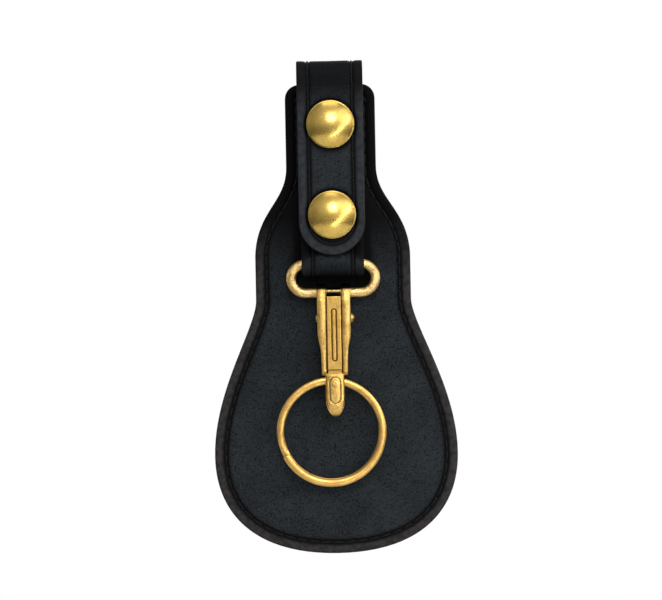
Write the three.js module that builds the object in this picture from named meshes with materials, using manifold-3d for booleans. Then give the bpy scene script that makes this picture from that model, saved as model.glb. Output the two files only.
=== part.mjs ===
// Belt key holder: a stitched leather flap hangs behind a snap hook with a split ring, from a strap that
// closes over a belt with two press studs. Units are millimetres, +Z is up, the front faces -Y, and the
// origin is the middle of the belt slot. The holder hangs from the belt, so everything else is below it.
import * as THREE from "three";
import { mergeVertices } from "three/addons/utils/BufferGeometryUtils.js";
import Module from "manifold-3d";

// ---------- driving dimensions ----------
const GLUE = 0.05; // film between bonded or clamped faces
const BIG = 200; // longer than the whole object, for cutting tools

// strap: one double-layer strip that makes the front tab, the fold, the back leg and the dee carrier
const STRAP_WIDTH = 20.8; // tab and fold
const CARRIER_WIDTH = 19.6; // back leg and dee carrier
const STRAP_OUTER = 1.1; // grain layer
const STRAP_LINING = 0.8; // inner layer
const SLOT_DEPTH = 5.4; // clear front to back of the belt slot
const SLOT_HEIGHT = 9.4; // from the carrier's upper end to the centre of the fold
const TAB_END_MARGIN = 12.6; // lower snap to the tab's rounded end
const STITCH_INSET = 3.5; // seam to edge, strap and flap
const STITCH_WIDTH = 0.7;
const STITCH_DEPTH = 0.25;
const SEAM_CLEARANCE = 0.1; // thread to the sides and floor of its groove

// flap: two pear-shaped leather plies
const FLAP_FRONT = 1.7; // thickness of the front ply
const FLAP_BACK = 1.4; // thickness of the back ply
const FLAP_DROP = 2.5; // fold centre down to the flap's top edge
const FLAP_LENGTH = 148.2;
const NECK_HALF = 14.2;
const NECK_CORNER = 4.4;
const NECK_LENGTH = 26; // top edge to where the neck starts to widen
const SHOULDER_HALF = 24.5;
const SHOULDER_DROP = 53.6; // top edge to the shoulder
const WAIST_DROP = 68.6; // top edge to the end of the straight below the shoulder
const BELLY_HALF = 38.4;
const BELLY_DROP = 116.9; // top edge to the widest level
const BOTTOM_HANDLE = 26.3; // lengths of the outline's curve handles, from the bottom up
const BELLY_HANDLE_DOWN = 18.3;
const BELLY_HANDLE_UP = 20.3;
const WAIST_HANDLE = 9.3;
const SHOULDER_HANDLE = 14.2;
const NECK_HANDLE = 10.8;

// snaps
const CAP_DIAMETER = 15.1;
const CAP_HEIGHT = 3.0;
const SNAP_PITCH = 28.4;
const SNAP_MARGIN = 6.1; // carrier's upper end to the upper snap
const SOCKET_RADIUS = 5.8;
const SOCKET_WALL = 1.3;
const SOCKET_BASE = 0.6;
const STUD_HEAD_RADIUS = 3.3;
const SPRING_CLEARANCE = 0.25; // a spring to what it grips or turns round
const POST_RADIUS = 1.6;
const POST_HEAD_RADIUS = 4.75;
const POST_HEAD_HEIGHT = 0.7;
const POST_HEAD_LIP = 0.35; // height of the head's straight rim
const POST_HEAD_CHAMFER = 0.6;
const CLINCH_REACH = 0.9; // how far the cap's post is spread inside the socket
const CLINCH_HEIGHT = 0.35;
const SOCKET_CHAMFER = 0.3;
const STUD_TIP_ROOM = 0.75; // from the socket's base to the stud's tip
const STUD_TIP_WALL = 0.6;
const STUD_WAIST = 0.35; // how far the stud narrows below its head
const STUD_FLANGE_STEP = 0.9; // the flange is smaller than the socket by this
const STUD_FLANGE_HEIGHT = 0.45;
const HOLE_CLEARANCE = 0.25; // a post to the leather round it

// dee loop
const DEE_WIRE = 3.4; // diameter
const DEE_PITCH = 8.9; // top bar to bottom bar
const DEE_SIDE_ROOM = 1.7; // carrier's edge to the inside of the loop's end
const DEE_RUNNING = 0.2; // leather or lug to the wire
const TAB_TO_DEE = 2.9; // tab's end down to the top bar
const CARRIER_CLOSING = 7.0; // height over which the carrier closes above the top bar

// snap hook
const BODY_HALF = 5.25; // half width at the lugs
const BODY_END_HALF = 4.1; // half width at the lower end
const LUG_WALL = 0.95;
const PIN_DROP = 8.1; // dee's bottom bar to the gate pin
const KNEE_DROP = 3.0; // pin to where the side walls start to fall back
const BODY_END_DROP = 18.0; // pin to the end of the side walls
const PLATE_THICKNESS = 1.4;
const GATE_HALF = 2.2;
const GATE_SIDE_CLEARANCE = 0.2;
const GATE_THICKNESS = 1.1;
const GATE_RISE = 6.9; // pin up to the gate's upper end
const GATE_DROP = 16.1; // pin down to the gate's face end
const GATE_TONGUE = 1.7; // length of the thin tongue below the face end
const PIN_RADIUS = 0.9;
const PIN_CLEARANCE = 0.12;
const NOSE_HALF = 2.95;
const NOSE_THICKNESS = 1.7;
const NOSE_DROP = 13.1; // end of the side walls down to the nose's tip
const MOUTH_DEPTH = 3.9; // front to back inside the hook
const MOUTH_HEIGHT = 7.8; // end of the side walls down to the seat
const SPRING_WIRE = 0.5;
const SPRING_TURNS = 3.5;

// split ring
const RING_OUTER = 34.6; // diameter
const RING_WIDTH = 2.4; // radial width of the wire
const RING_LEAF = 1.25; // thickness of one turn
const RING_LEAF_GAP = 0.08;
const RING_CROSSOVER = 34; // degrees of arc over which one turn steps to the next
const RING_CROSSOVER_AT = 207; // degrees, seen from the front, where that step ends
const RING_SIDE = -1.4; // ring centre to the left of the hook
const RING_CLEARANCE = 0.45; // ring to the hook above it

// ---------- places worked out from the dimensions ----------
const strapThickness = STRAP_OUTER + GLUE + STRAP_LINING;
const slotHalf = SLOT_DEPTH / 2;
const foldOuter = slotHalf + strapThickness;
const foldZ = SLOT_HEIGHT / 2;
const carrierTopZ = -SLOT_HEIGHT / 2;
const tabFrontY = -foldOuter;
const snapZ = { upper: carrierTopZ - SNAP_MARGIN, lower: carrierTopZ - SNAP_MARGIN - SNAP_PITCH };
const tabEndZ = snapZ.lower - TAB_END_MARGIN;
const carrierBackY = slotHalf - 2 * GLUE; // the carrier's own inner face, where it lies on the back leg
const carrierFrontY = carrierBackY - strapThickness;
const flapFrontY = foldOuter + GLUE;
const flapMidY = flapFrontY + FLAP_FRONT;
const flapBackY = flapMidY + GLUE + FLAP_BACK;
const flapTopZ = foldZ - FLAP_DROP;
const deeInner = DEE_WIRE / 2 + DEE_RUNNING; // inside radius of the leather and of the lugs round the wire
const deeY = slotHalf - deeInner;
const deeTopZ = tabEndZ - TAB_TO_DEE;
const deeBottomZ = deeTopZ - DEE_PITCH;
const lugRadius = deeInner + LUG_WALL;
const pinZ = deeBottomZ - PIN_DROP;
const bodyBackY = deeY + lugRadius;
const bodyFrontY = deeY - lugRadius - 0.8;
const gateFrontY = bodyFrontY - 0.2;
const plateY = bodyBackY - PLATE_THICKNESS;
const gateBackY = gateFrontY + GATE_THICKNESS;
const pinY = (gateBackY + plateY) / 2;
const bodyEndZ = pinZ - BODY_END_DROP;
const kneeZ = pinZ - KNEE_DROP;
const gateTopZ = pinZ + GATE_RISE;
const gateEndZ = pinZ - GATE_DROP;
const channelHalf = GATE_HALF + GATE_SIDE_CLEARANCE;
const noseTopZ = gateEndZ - 1.1;
const noseTipZ = bodyEndZ - NOSE_DROP;
const mouthBackY = plateY - 0.3;
const mouthFrontY = mouthBackY - MOUTH_DEPTH;
const noseFrontY = mouthFrontY - NOSE_THICKNESS;
const seatZ = bodyEndZ - MOUTH_HEIGHT;
const ringTurnPitch = RING_LEAF + RING_LEAF_GAP;
const ringMean = (RING_OUTER - RING_WIDTH) / 2;
const ringY = (mouthFrontY + mouthBackY) / 2;
const ringZ = bodyEndZ - RING_CLEARANCE - RING_OUTER / 2;

// ---------- solids ----------
const wasm = await Module();
wasm.setup();

/** A closed geometry as a manifold-3d solid. */
function solidOf(geometry) {
  const bare = (geometry.index ? geometry.toNonIndexed() : geometry.clone());
  const positions = new THREE.BufferGeometry().setAttribute("position", bare.getAttribute("position"));
  const merged = mergeVertices(positions, 1e-4);
  return new wasm.Manifold(new wasm.Mesh({
    numProp: 3,
    vertProperties: merged.attributes.position.array,
    triVerts: new Uint32Array(merged.index.array),
  }));
}

/** A manifold-3d solid as a geometry. */
function geometryOf(solid) {
  const mesh = solid.getMesh();
  const geometry = new THREE.BufferGeometry();
  geometry.setAttribute("position", new THREE.BufferAttribute(new Float32Array(mesh.vertProperties), 3));
  geometry.setIndex(new THREE.BufferAttribute(new Uint32Array(mesh.triVerts), 1));
  return geometry;
}

const cut = (body, ...tools) =>
  geometryOf(tools.reduce((left, tool) => left.subtract(solidOf(tool)), solidOf(body)));
const join = (...bodies) => geometryOf(bodies.map(solidOf).reduce((a, b) => a.add(b)));
const common = (a, b) => geometryOf(solidOf(a).intersect(solidOf(b)));

/** Extrudes an outline drawn in X and Z, from frontY back to backY. */
function slab(shape, frontY, backY, curveSegments = 12) {
  const geometry = new THREE.ExtrudeGeometry(shape, {
    depth: backY - frontY,
    bevelEnabled: false,
    curveSegments,
  });
  return geometry.rotateX(Math.PI / 2).translate(0, backY, 0);
}

const turnToX = new THREE.Matrix4().set(0, 0, 1, 0, 1, 0, 0, 0, 0, 1, 0, 0, 0, 0, 0, 1);

/** Extrudes an outline drawn in Y and Z, from x0 to x1. */
function bar(shape, x0, x1, curveSegments = 12) {
  const geometry = new THREE.ExtrudeGeometry(shape, {
    depth: x1 - x0,
    bevelEnabled: false,
    curveSegments,
  });
  return geometry.applyMatrix4(turnToX).translate(x0, 0, 0);
}

/** A cylinder along Y, from frontY back to backY. */
function rodY(radius, frontY, backY, x, z, sides = 16) {
  return new THREE.CylinderGeometry(radius, radius, backY - frontY, sides)
    .translate(x, (frontY + backY) / 2, z);
}

/** A cylinder along X, from x0 to x1. */
function rodX(radius, x0, x1, y, z, sides = 20) {
  return new THREE.CylinderGeometry(radius, radius, x1 - x0, sides)
    .rotateZ(-Math.PI / 2)
    .translate((x0 + x1) / 2, y, z);
}

/** A box from one corner to the other. */
function block(low, high) {
  return new THREE.BoxGeometry(high[0] - low[0], high[1] - low[1], high[2] - low[2])
    .translate((low[0] + high[0]) / 2, (low[1] + high[1]) / 2, (low[2] + high[2]) / 2);
}

/** A body of revolution about Y. Its profile is [radius, y] pairs, in order of rising y outside. */
function turned(profile, sides = 24) {
  return new THREE.LatheGeometry(profile.map(([r, y]) => new THREE.Vector2(r, y)), sides);
}

const shapeOf = (points) => new THREE.Shape(points.map(([u, v]) => new THREE.Vector2(u, v)));

// ---------- outlines ----------

/** Points round the flap, drawn in X and Z, moved inwards by inset. */
function flapPoints(inset) {
  const top = flapTopZ;
  const side = new THREE.Path();
  side.moveTo(0, top - FLAP_LENGTH);
  side.bezierCurveTo(BOTTOM_HANDLE, top - FLAP_LENGTH, BELLY_HALF, top - BELLY_DROP - BELLY_HANDLE_DOWN,
    BELLY_HALF, top - BELLY_DROP);
  side.bezierCurveTo(BELLY_HALF, top - BELLY_DROP + BELLY_HANDLE_UP,
    SHOULDER_HALF + 1, top - WAIST_DROP - WAIST_HANDLE, SHOULDER_HALF, top - WAIST_DROP);
  side.lineTo(SHOULDER_HALF, top - SHOULDER_DROP);
  side.bezierCurveTo(SHOULDER_HALF - 0.8, top - SHOULDER_DROP + SHOULDER_HANDLE,
    NECK_HALF, top - NECK_LENGTH - NECK_HANDLE, NECK_HALF, top - NECK_LENGTH);
  side.lineTo(NECK_HALF, top - NECK_CORNER);
  side.absarc(NECK_HALF - NECK_CORNER, top - NECK_CORNER, NECK_CORNER, 0, Math.PI / 2, false);
  side.lineTo(0, top);
  const right = side.getPoints(9);
  const left = right.slice(1, -1).reverse().map((p) => new THREE.Vector2(-p.x, p.y));
  return insetPoints([...right, ...left], inset);
}

/** Moves a closed counter-clockwise outline inwards along its normals. */
function insetPoints(points, inset) {
  return points.map((p, i) => {
    const before = points.at(i - 1);
    const after = points[(i + 1) % points.length];
    const a = p.clone().sub(before).normalize();
    const b = after.clone().sub(p).normalize();
    const mitre = new THREE.Vector2(-(a.y + b.y), a.x + b.x).normalize();
    return p.clone().addScaledVector(mitre, inset);
  });
}

/** Half a strap end: the tab's outline, drawn in X and Z, moved inwards by inset, from zTop down. */
function tabShape(inset, zTop) {
  const half = STRAP_WIDTH / 2 - inset;
  const centre = tabEndZ + STRAP_WIDTH / 2;
  const shape = new THREE.Shape();
  shape.moveTo(half, zTop);
  shape.lineTo(-half, zTop);
  shape.lineTo(-half, centre);
  shape.absarc(0, centre, half, Math.PI, 2 * Math.PI, false);
  shape.lineTo(half, zTop);
  return shape;
}

/** A seam's band between two insets of an outline, as a slab. */
function seamBand(shapeAt, width, frontY, backY) {
  const outer = slab(shapeAt(STITCH_INSET - width / 2), frontY, backY, 12);
  const inner = slab(shapeAt(STITCH_INSET + width / 2), frontY - 1, backY + 1, 12);
  return cut(outer, inner);
}

const grooveWidth = STITCH_WIDTH + 2 * SEAM_CLEARANCE;
const grooveDepth = STITCH_DEPTH + 2 * SEAM_CLEARANCE;
const flapShapeAt = (inset) => new THREE.Shape(flapPoints(inset));

// ---------- flap ----------

function flapFront() {
  const ply = slab(flapShapeAt(0), flapFrontY, flapMidY);
  const groove = seamBand(flapShapeAt, grooveWidth, flapFrontY - 1, flapFrontY + grooveDepth);
  return cut(ply, groove, ...postHoles(flapFrontY - 1, flapMidY + 1));
}

function flapBack() {
  const ply = slab(flapShapeAt(0), flapMidY + GLUE, flapBackY);
  const groove = seamBand(flapShapeAt, grooveWidth, flapBackY - grooveDepth, flapBackY + 1);
  const seatY = flapBackY - POST_HEAD_HEIGHT - 2 * GLUE;
  const seats = Object.values(snapZ).map((z) =>
    rodY(POST_HEAD_RADIUS + HOLE_CLEARANCE, seatY, flapBackY + 1, 0, z, 24));
  return cut(ply, groove, ...seats, ...postHoles(flapMidY - 1, flapBackY + 1));
}

function flapSeam(front) {
  const startY = front ? flapFrontY + SEAM_CLEARANCE : flapBackY - SEAM_CLEARANCE - STITCH_DEPTH;
  return seamBand(flapShapeAt, STITCH_WIDTH, startY, startY + STITCH_DEPTH);
}

/** The holes that both snap posts make through leather between two levels. */
function postHoles(frontY, backY) {
  return Object.values(snapZ).map((z) => rodY(POST_RADIUS + HOLE_CLEARANCE, frontY, backY, 0, z));
}

// ---------- strap ----------

const layers = {
  outer: [STRAP_LINING + GLUE, strapThickness],
  lining: [0, STRAP_LINING],
};

/** The tab's layer, which hangs in front of the belt. */
function tabLayer(name) {
  const [near, far] = layers[name];
  const ply = slab(tabShape(0, foldZ), -slotHalf - far, -slotHalf - near, 12);
  const holes = postHoles(-slotHalf - far - 1, -slotHalf - near + 1);
  if (name === "lining") return cut(ply, ...holes);
  return cut(ply, seamBand(tabSeamAt, grooveWidth, tabFrontY - 1, tabFrontY + grooveDepth), ...holes);
}

// The seam's outline runs past the top of the tab, so that the band is a U open at the fold.
const tabSeamAt = (inset) => tabShape(inset, foldZ + inset + 1);

function tabSeam() {
  const band = seamBand(tabSeamAt, STITCH_WIDTH, tabFrontY + SEAM_CLEARANCE,
    tabFrontY + SEAM_CLEARANCE + STITCH_DEPTH);
  return cut(band, block([-BIG, -BIG, foldZ], [BIG, BIG, BIG]));
}

/** The fold's layer over the top of the belt slot. */
function foldLayer(name) {
  const [near, far] = layers[name];
  const shape = new THREE.Shape();
  shape.absarc(0, 0, slotHalf + far, 0, Math.PI, false);
  shape.absarc(0, 0, slotHalf + near, Math.PI, 0, true);
  return bar(shape, -STRAP_WIDTH / 2, STRAP_WIDTH / 2, 14).translate(0, 0, foldZ + GLUE);
}

/** The inside face of the back leg, the turn round the dee and the carrier: points with outward normals. */
function carrierLine() {
  const line = [
    { y: slotHalf, z: foldZ, ny: 1, nz: 0 },
    { y: slotHalf, z: deeTopZ, ny: 1, nz: 0 },
  ];
  const turnSteps = 12;
  for (let i = 1; i <= turnSteps; i++) {
    const angle = (-Math.PI * i) / turnSteps;
    line.push({
      y: deeY + deeInner * Math.cos(angle),
      z: deeTopZ + deeInner * Math.sin(angle),
      ny: Math.cos(angle),
      nz: Math.sin(angle),
    });
  }
  const closingSteps = 8;
  const shift = carrierBackY - (deeY - deeInner);
  for (let i = 1; i <= closingSteps; i++) {
    const t = i / closingSteps;
    const slope = (shift * Math.PI * Math.sin(Math.PI * t)) / (2 * CARRIER_CLOSING);
    const length = Math.hypot(1, slope);
    line.push({
      y: deeY - deeInner + (shift * (1 - Math.cos(Math.PI * t))) / 2,
      z: deeTopZ + CARRIER_CLOSING * t,
      ny: -1 / length,
      nz: slope / length,
    });
  }
  line.push({ y: carrierBackY, z: carrierTopZ, ny: -1, nz: 0 });
  return line;
}

/** A strip between two offsets of the carrier's line, x0 to x1. */
function carrierStrip(line, near, far, x0, x1) {
  const at = (offset) => line.map((p) => [p.y + offset * p.ny, p.z + offset * p.nz]);
  return bar(shapeOf([...at(far), ...at(near).reverse()].reverse()), x0, x1);
}

function carrierLayer(name) {
  const [near, far] = layers[name];
  const half = CARRIER_WIDTH / 2;
  const strip = carrierStrip(carrierLine(), near, far, -half, half);
  const holes = postHoles(carrierFrontY - 1, foldOuter + 1);
  if (name === "lining") return cut(strip, ...holes);
  const grooves = [-1, 1].map((side) => carrierSeamStrip(side, grooveWidth, strapThickness - grooveDepth, 1));
  return cut(strip, ...grooves, ...holes);
}

/** One row of stitches on the carrier's front, from the turn up to its end. */
function carrierSeamStrip(side, width, near, beyond) {
  const line = carrierLine().slice(8);
  const x = side * (CARRIER_WIDTH / 2 - STITCH_INSET);
  return carrierStrip(line, near, strapThickness + beyond, x - width / 2, x + width / 2);
}

const carrierSeam = (side) =>
  carrierSeamStrip(side, STITCH_WIDTH, strapThickness - SEAM_CLEARANCE - STITCH_DEPTH, -SEAM_CLEARANCE);

// ---------- snaps, drawn about the snap's own axis ----------

const stackFrontY = tabFrontY - GLUE; // under the cap
const socketY = -slotHalf + GLUE; // socket's face on the lining
const socketMouthY = carrierFrontY - STUD_FLANGE_HEIGHT - 4 * GLUE; // just off the stud's flange
const studFlangeY = carrierFrontY - GLUE;

function snapCap() {
  const radius = CAP_DIAMETER / 2;
  const ball = (radius ** 2 + CAP_HEIGHT ** 2) / (2 * CAP_HEIGHT); // radius of the dome's sphere
  const rise = Math.asin(radius / ball);
  const dome = [];
  const steps = 5;
  for (let i = 0; i <= steps; i++) {
    const a = (rise * i) / steps;
    dome.push([ball * Math.sin(a), stackFrontY - CAP_HEIGHT + ball * (1 - Math.cos(a))]);
  }
  const clinchY = socketY + SOCKET_BASE + GLUE;
  return turned([
    ...dome,
    [POST_RADIUS, stackFrontY],
    [POST_RADIUS, clinchY],
    [POST_RADIUS + CLINCH_REACH, clinchY],
    [POST_RADIUS + (2 * CLINCH_REACH) / 3, clinchY + CLINCH_HEIGHT],
    [0, clinchY + CLINCH_HEIGHT],
  ]);
}

function snapSocket() {
  const hole = POST_RADIUS + HOLE_CLEARANCE;
  return turned([
    [hole, socketY],
    [SOCKET_RADIUS - SOCKET_CHAMFER, socketY],
    [SOCKET_RADIUS, socketY + SOCKET_CHAMFER],
    [SOCKET_RADIUS, socketMouthY - SOCKET_CHAMFER],
    [SOCKET_RADIUS - SOCKET_CHAMFER, socketMouthY],
    [SOCKET_RADIUS - SOCKET_WALL, socketMouthY],
    [SOCKET_RADIUS - SOCKET_WALL, socketY + SOCKET_BASE],
    [hole, socketY + SOCKET_BASE],
    [hole, socketY],
  ]);
}

/** The round wire in the socket that grips the stud, with its gap. */
function snapSpring() {
  const inner = STUD_HEAD_RADIUS + SPRING_CLEARANCE;
  const outer = SOCKET_RADIUS - SOCKET_WALL - 0.15;
  const middle = socketMouthY - 0.55;
  const shape = new THREE.Shape();
  const gap = 0.25; // radians left open
  shape.absarc(0, 0, outer, gap, 2 * Math.PI - gap, false);
  shape.absarc(0, 0, inner, 2 * Math.PI - gap, gap, true);
  return slab(shape, middle - 0.25, middle + 0.25, 14);
}

function snapStud() {
  const bore = POST_RADIUS + HOLE_CLEARANCE;
  const tipY = socketY + SOCKET_BASE + STUD_TIP_ROOM;
  const flange = SOCKET_RADIUS - STUD_FLANGE_STEP;
  return turned([
    [0, tipY],
    [STUD_HEAD_RADIUS - 2 * STUD_WAIST, tipY],
    [STUD_HEAD_RADIUS, tipY + 0.5],
    [STUD_HEAD_RADIUS - STUD_WAIST, studFlangeY - STUD_FLANGE_HEIGHT - GLUE],
    [flange, studFlangeY - STUD_FLANGE_HEIGHT],
    [flange, studFlangeY],
    [bore, studFlangeY],
    [bore, tipY + STUD_TIP_WALL],
    [0, tipY + STUD_TIP_WALL],
  ]);
}

function snapPost() {
  const tipY = socketY + SOCKET_BASE + STUD_TIP_ROOM + STUD_TIP_WALL + HOLE_CLEARANCE;
  const headFrontY = flapBackY - GLUE - POST_HEAD_HEIGHT;
  return turned([
    [0, tipY],
    [POST_RADIUS, tipY],
    [POST_RADIUS, headFrontY],
    [POST_HEAD_RADIUS, headFrontY],
    [POST_HEAD_RADIUS, headFrontY + POST_HEAD_LIP],
    [POST_HEAD_RADIUS - POST_HEAD_CHAMFER, flapBackY - GLUE],
    [0, flapBackY - GLUE],
  ]);
}

// ---------- dee loop ----------

/** A closed oblong line in X and Z: two straight bars with half-round ends. */
class Oblong extends THREE.Curve {
  constructor(halfStraight, radius, y, z) {
    super();
    Object.assign(this, { halfStraight, radius, y, z });
  }

  getPoint(t, target = new THREE.Vector3()) {
    const straight = 2 * this.halfStraight;
    const arc = Math.PI * this.radius;
    let s = (t % 1) * 2 * (straight + arc);
    const side = s < straight + arc ? 1 : -1;
    s = side > 0 ? s : s - straight - arc;
    if (s < straight) {
      return target.set(side * (s - this.halfStraight), this.y, this.z + side * this.radius);
    }
    const a = (s - straight) / this.radius;
    return target.set(side * (this.halfStraight + this.radius * Math.sin(a)), this.y,
      this.z + side * this.radius * Math.cos(a));
  }
}

/** The dee: the wire runs back to its own start, so the tube has no ends to close. */
function deeLoop() {
  const radius = DEE_PITCH / 2;
  const halfInside = CARRIER_WIDTH / 2 + DEE_SIDE_ROOM;
  const line = new Oblong(halfInside + DEE_WIRE / 2 - radius, radius, deeY, (deeTopZ + deeBottomZ) / 2);
  return new THREE.TubeGeometry(line, 48, DEE_WIRE / 2, 10, true);
}

// ---------- snap hook ----------

/** Outline of the hook body from the front, above the nose. */
function bodyFrontShape() {
  const shape = new THREE.Shape();
  shape.moveTo(-BODY_HALF, deeBottomZ + lugRadius + 1);
  shape.lineTo(-BODY_HALF, kneeZ - 0.6);
  shape.bezierCurveTo(-BODY_HALF, kneeZ - 4, -BODY_END_HALF - 0.4, kneeZ - 5, -BODY_END_HALF - 0.2, kneeZ - 8);
  shape.lineTo(-BODY_END_HALF, bodyEndZ);
  shape.lineTo(BODY_END_HALF, bodyEndZ);
  shape.lineTo(BODY_END_HALF + 0.2, kneeZ - 8);
  shape.bezierCurveTo(BODY_END_HALF + 0.4, kneeZ - 5, BODY_HALF, kneeZ - 4, BODY_HALF, kneeZ - 0.6);
  shape.lineTo(BODY_HALF, deeBottomZ + lugRadius + 1);
  return shape;
}

/** Outline of the side walls from the side: full depth to the knee, then falling back for the finger. */
function bodySideShape() {
  const shape = new THREE.Shape();
  shape.moveTo(bodyBackY, deeBottomZ);
  shape.lineTo(deeY - lugRadius, deeBottomZ);
  shape.lineTo(bodyFrontY, deeBottomZ - 2.5);
  shape.lineTo(bodyFrontY, kneeZ);
  shape.quadraticCurveTo(bodyFrontY + 0.2, kneeZ - 3, bodyFrontY + 1.3, bodyEndZ + 1);
  shape.lineTo(bodyFrontY + 2.2, bodyEndZ);
  shape.lineTo(bodyBackY, bodyEndZ);
  return shape;
}

/** Outline of the nose from the side, with its mouth open at the top towards the gate. */
function noseSideShape() {
  const shape = new THREE.Shape();
  shape.moveTo(bodyBackY, bodyEndZ + 3);
  shape.lineTo(mouthBackY, bodyEndZ + 3);
  shape.lineTo(mouthBackY, seatZ + MOUTH_DEPTH / 2);
  shape.absarc((mouthBackY + mouthFrontY) / 2, seatZ + MOUTH_DEPTH / 2, MOUTH_DEPTH / 2, 0, Math.PI, true);
  shape.lineTo(mouthFrontY, noseTopZ);
  shape.lineTo(noseFrontY + 0.5, noseTopZ);
  shape.lineTo(noseFrontY, noseTopZ - 0.6);
  shape.lineTo(noseFrontY, seatZ + 1);
  shape.bezierCurveTo(noseFrontY, seatZ - 3, noseFrontY + 1.6, noseTipZ, noseFrontY + 3.4, noseTipZ);
  shape.bezierCurveTo(bodyBackY - 1, noseTipZ, bodyBackY, seatZ - 3, bodyBackY, seatZ + 1);
  return shape;
}

/** Outline of the nose from the front: a tongue with a rounded tip. */
function noseFrontShape() {
  const shape = new THREE.Shape();
  const round = (bodyEndZ - noseTipZ) * 0.42; // height of the rounded tip
  shape.moveTo(NOSE_HALF, bodyEndZ + 4);
  shape.lineTo(-NOSE_HALF, bodyEndZ + 4);
  shape.lineTo(-NOSE_HALF, noseTipZ + round);
  shape.absellipse(0, noseTipZ + round, NOSE_HALF, round, Math.PI, 2 * Math.PI, false);
  return shape;
}

function hookBody() {
  const front = slab(bodyFrontShape(), bodyFrontY - 1, bodyBackY + 1);
  const walls = common(front, bar(bodySideShape(), -BIG, BIG));
  const lugs = rodX(lugRadius, -BODY_HALF, BODY_HALF, deeY, deeBottomZ, 28);
  const nose = common(bar(noseSideShape(), -BIG, BIG), slab(noseFrontShape(), -BIG, BIG));
  const channel = block([-channelHalf, -BIG, bodyEndZ - 1], [channelHalf, plateY, deeBottomZ + lugRadius + 1]);
  const yoke = block([-channelHalf, -BIG, deeBottomZ - lugRadius - 0.6], [channelHalf, BIG, BIG]);
  const wireHole = rodX(deeInner, -BIG, BIG, deeY, deeBottomZ, 24);
  const pinHole = rodX(PIN_RADIUS + PIN_CLEARANCE, -BIG, BIG, pinY, pinZ);
  return join(cut(join(walls, lugs), channel, yoke, wireHole, pinHole), nose);
}

/** An obround outline in X and Z. */
function obround(half, lowZ, highZ) {
  const shape = new THREE.Shape();
  shape.absarc(0, highZ - half, half, 0, Math.PI, false);
  shape.absarc(0, lowZ + half, half, Math.PI, 2 * Math.PI, false);
  return shape;
}

function gate() {
  const face = block([-GATE_HALF, gateFrontY, gateEndZ], [GATE_HALF, gateBackY, gateTopZ]);
  const ear = 0.75; // thickness of each ear round the pin
  const earShape = new THREE.Shape();
  earShape.moveTo(gateBackY - 0.2, pinZ + 2.6);
  earShape.lineTo(gateBackY - 0.2, pinZ - 6);
  earShape.quadraticCurveTo(pinY + 1.5, pinZ - 4, pinY + 1.9, pinZ);
  earShape.absarc(pinY, pinZ, 1.9, 0, Math.PI / 2, false);
  const ears = [-1, 1].map((side) =>
    side < 0 ? bar(earShape, -GATE_HALF, -GATE_HALF + ear) : bar(earShape, GATE_HALF - ear, GATE_HALF));
  const tongueFrontY = mouthFrontY + 0.15;
  const heel = block([-GATE_HALF, gateFrontY + 0.2, gateEndZ], [GATE_HALF, tongueFrontY + 0.8, gateEndZ + 1.6]);
  const tongue = block([-GATE_HALF + 0.1, tongueFrontY, gateEndZ - GATE_TONGUE],
    [GATE_HALF - 0.1, tongueFrontY + 0.8, gateEndZ + 1]);
  const rib = cut(slab(obround(0.9, gateEndZ + 2.5, pinZ + 3.1), gateFrontY - 1, gateFrontY + 0.3),
    slab(obround(0.5, gateEndZ + 2.9, pinZ + 2.7), gateFrontY - 2, gateFrontY + 1));
  return cut(join(face, ...ears, heel, tongue), rib, rodX(PIN_RADIUS + PIN_CLEARANCE, -BIG, BIG, pinY, pinZ));
}

/** The gate pin, with a domed head on the right and a peened end on the left. */
function gatePin() {
  const headX = BODY_HALF + 0.06;
  const pin = turned([
    [0, -headX - 0.5],
    [0.9, -headX - 0.42],
    [1.4, -headX],
    [PIN_RADIUS, -headX],
    [PIN_RADIUS, headX],
    [1.8, headX],
    [1.7, headX + 0.5],
    [1.1, headX + 1.0],
    [0, headX + 1.2],
  ], 20);
  return pin.rotateZ(-Math.PI / 2).translate(0, pinY, pinZ);
}

/** The coil round the pin with its two legs: one reaches the gate, one the back plate. */
class SpringLine extends THREE.Curve {
  getPoint(t, target = new THREE.Vector3()) {
    const radius = PIN_RADIUS + PIN_CLEARANCE + SPRING_WIRE / 2 + SPRING_CLEARANCE;
    const splay = (plateY - gateBackY) / 2 - radius - SPRING_WIRE / 2 - 2 * GLUE;
    const pitch = SPRING_WIRE + 2 * GLUE;
    const legShare = 0.08; // of the wire's length, each
    const legLength = 2.2;
    const coil = THREE.MathUtils.clamp((t - legShare) / (1 - 2 * legShare), 0, 1);
    const angle = Math.PI - 2 * Math.PI * SPRING_TURNS * coil;
    const frontLeg = Math.max(0, legShare - t) / legShare;
    const backLeg = Math.max(0, t - 1 + legShare) / legShare;
    return target.set(
      (coil - 0.5) * SPRING_TURNS * pitch,
      pinY + radius * Math.cos(angle) + splay * (backLeg - frontLeg),
      pinZ + radius * Math.sin(angle) - legLength * (frontLeg + backLeg),
    );
  }
}

function gateSpring() {
  const section = new THREE.Shape();
  section.absarc(0, 0, SPRING_WIRE / 2, 0, 2 * Math.PI, false);
  return new THREE.ExtrudeGeometry(section, {
    steps: 46,
    curveSegments: 3,
    bevelEnabled: false,
    extrudePath: new SpringLine(),
  });
}

// ---------- split ring ----------

/** Two turns of wire in the ring's own plane, one behind the other, with one step between them. */
class RingLine extends THREE.Curve {
  getPoint(t, target = new THREE.Vector3()) {
    const step = THREE.MathUtils.degToRad(RING_CROSSOVER);
    const travelled = t * (4 * Math.PI - step);
    const share = THREE.MathUtils.smoothstep(travelled, 2 * Math.PI - step, 2 * Math.PI);
    const angle = THREE.MathUtils.degToRad(RING_CROSSOVER_AT) + travelled;
    return target.set(
      RING_SIDE + ringMean * Math.cos(angle),
      ringY + ringTurnPitch * (share - 0.5),
      ringZ + ringMean * Math.sin(angle),
    );
  }
}

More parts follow.
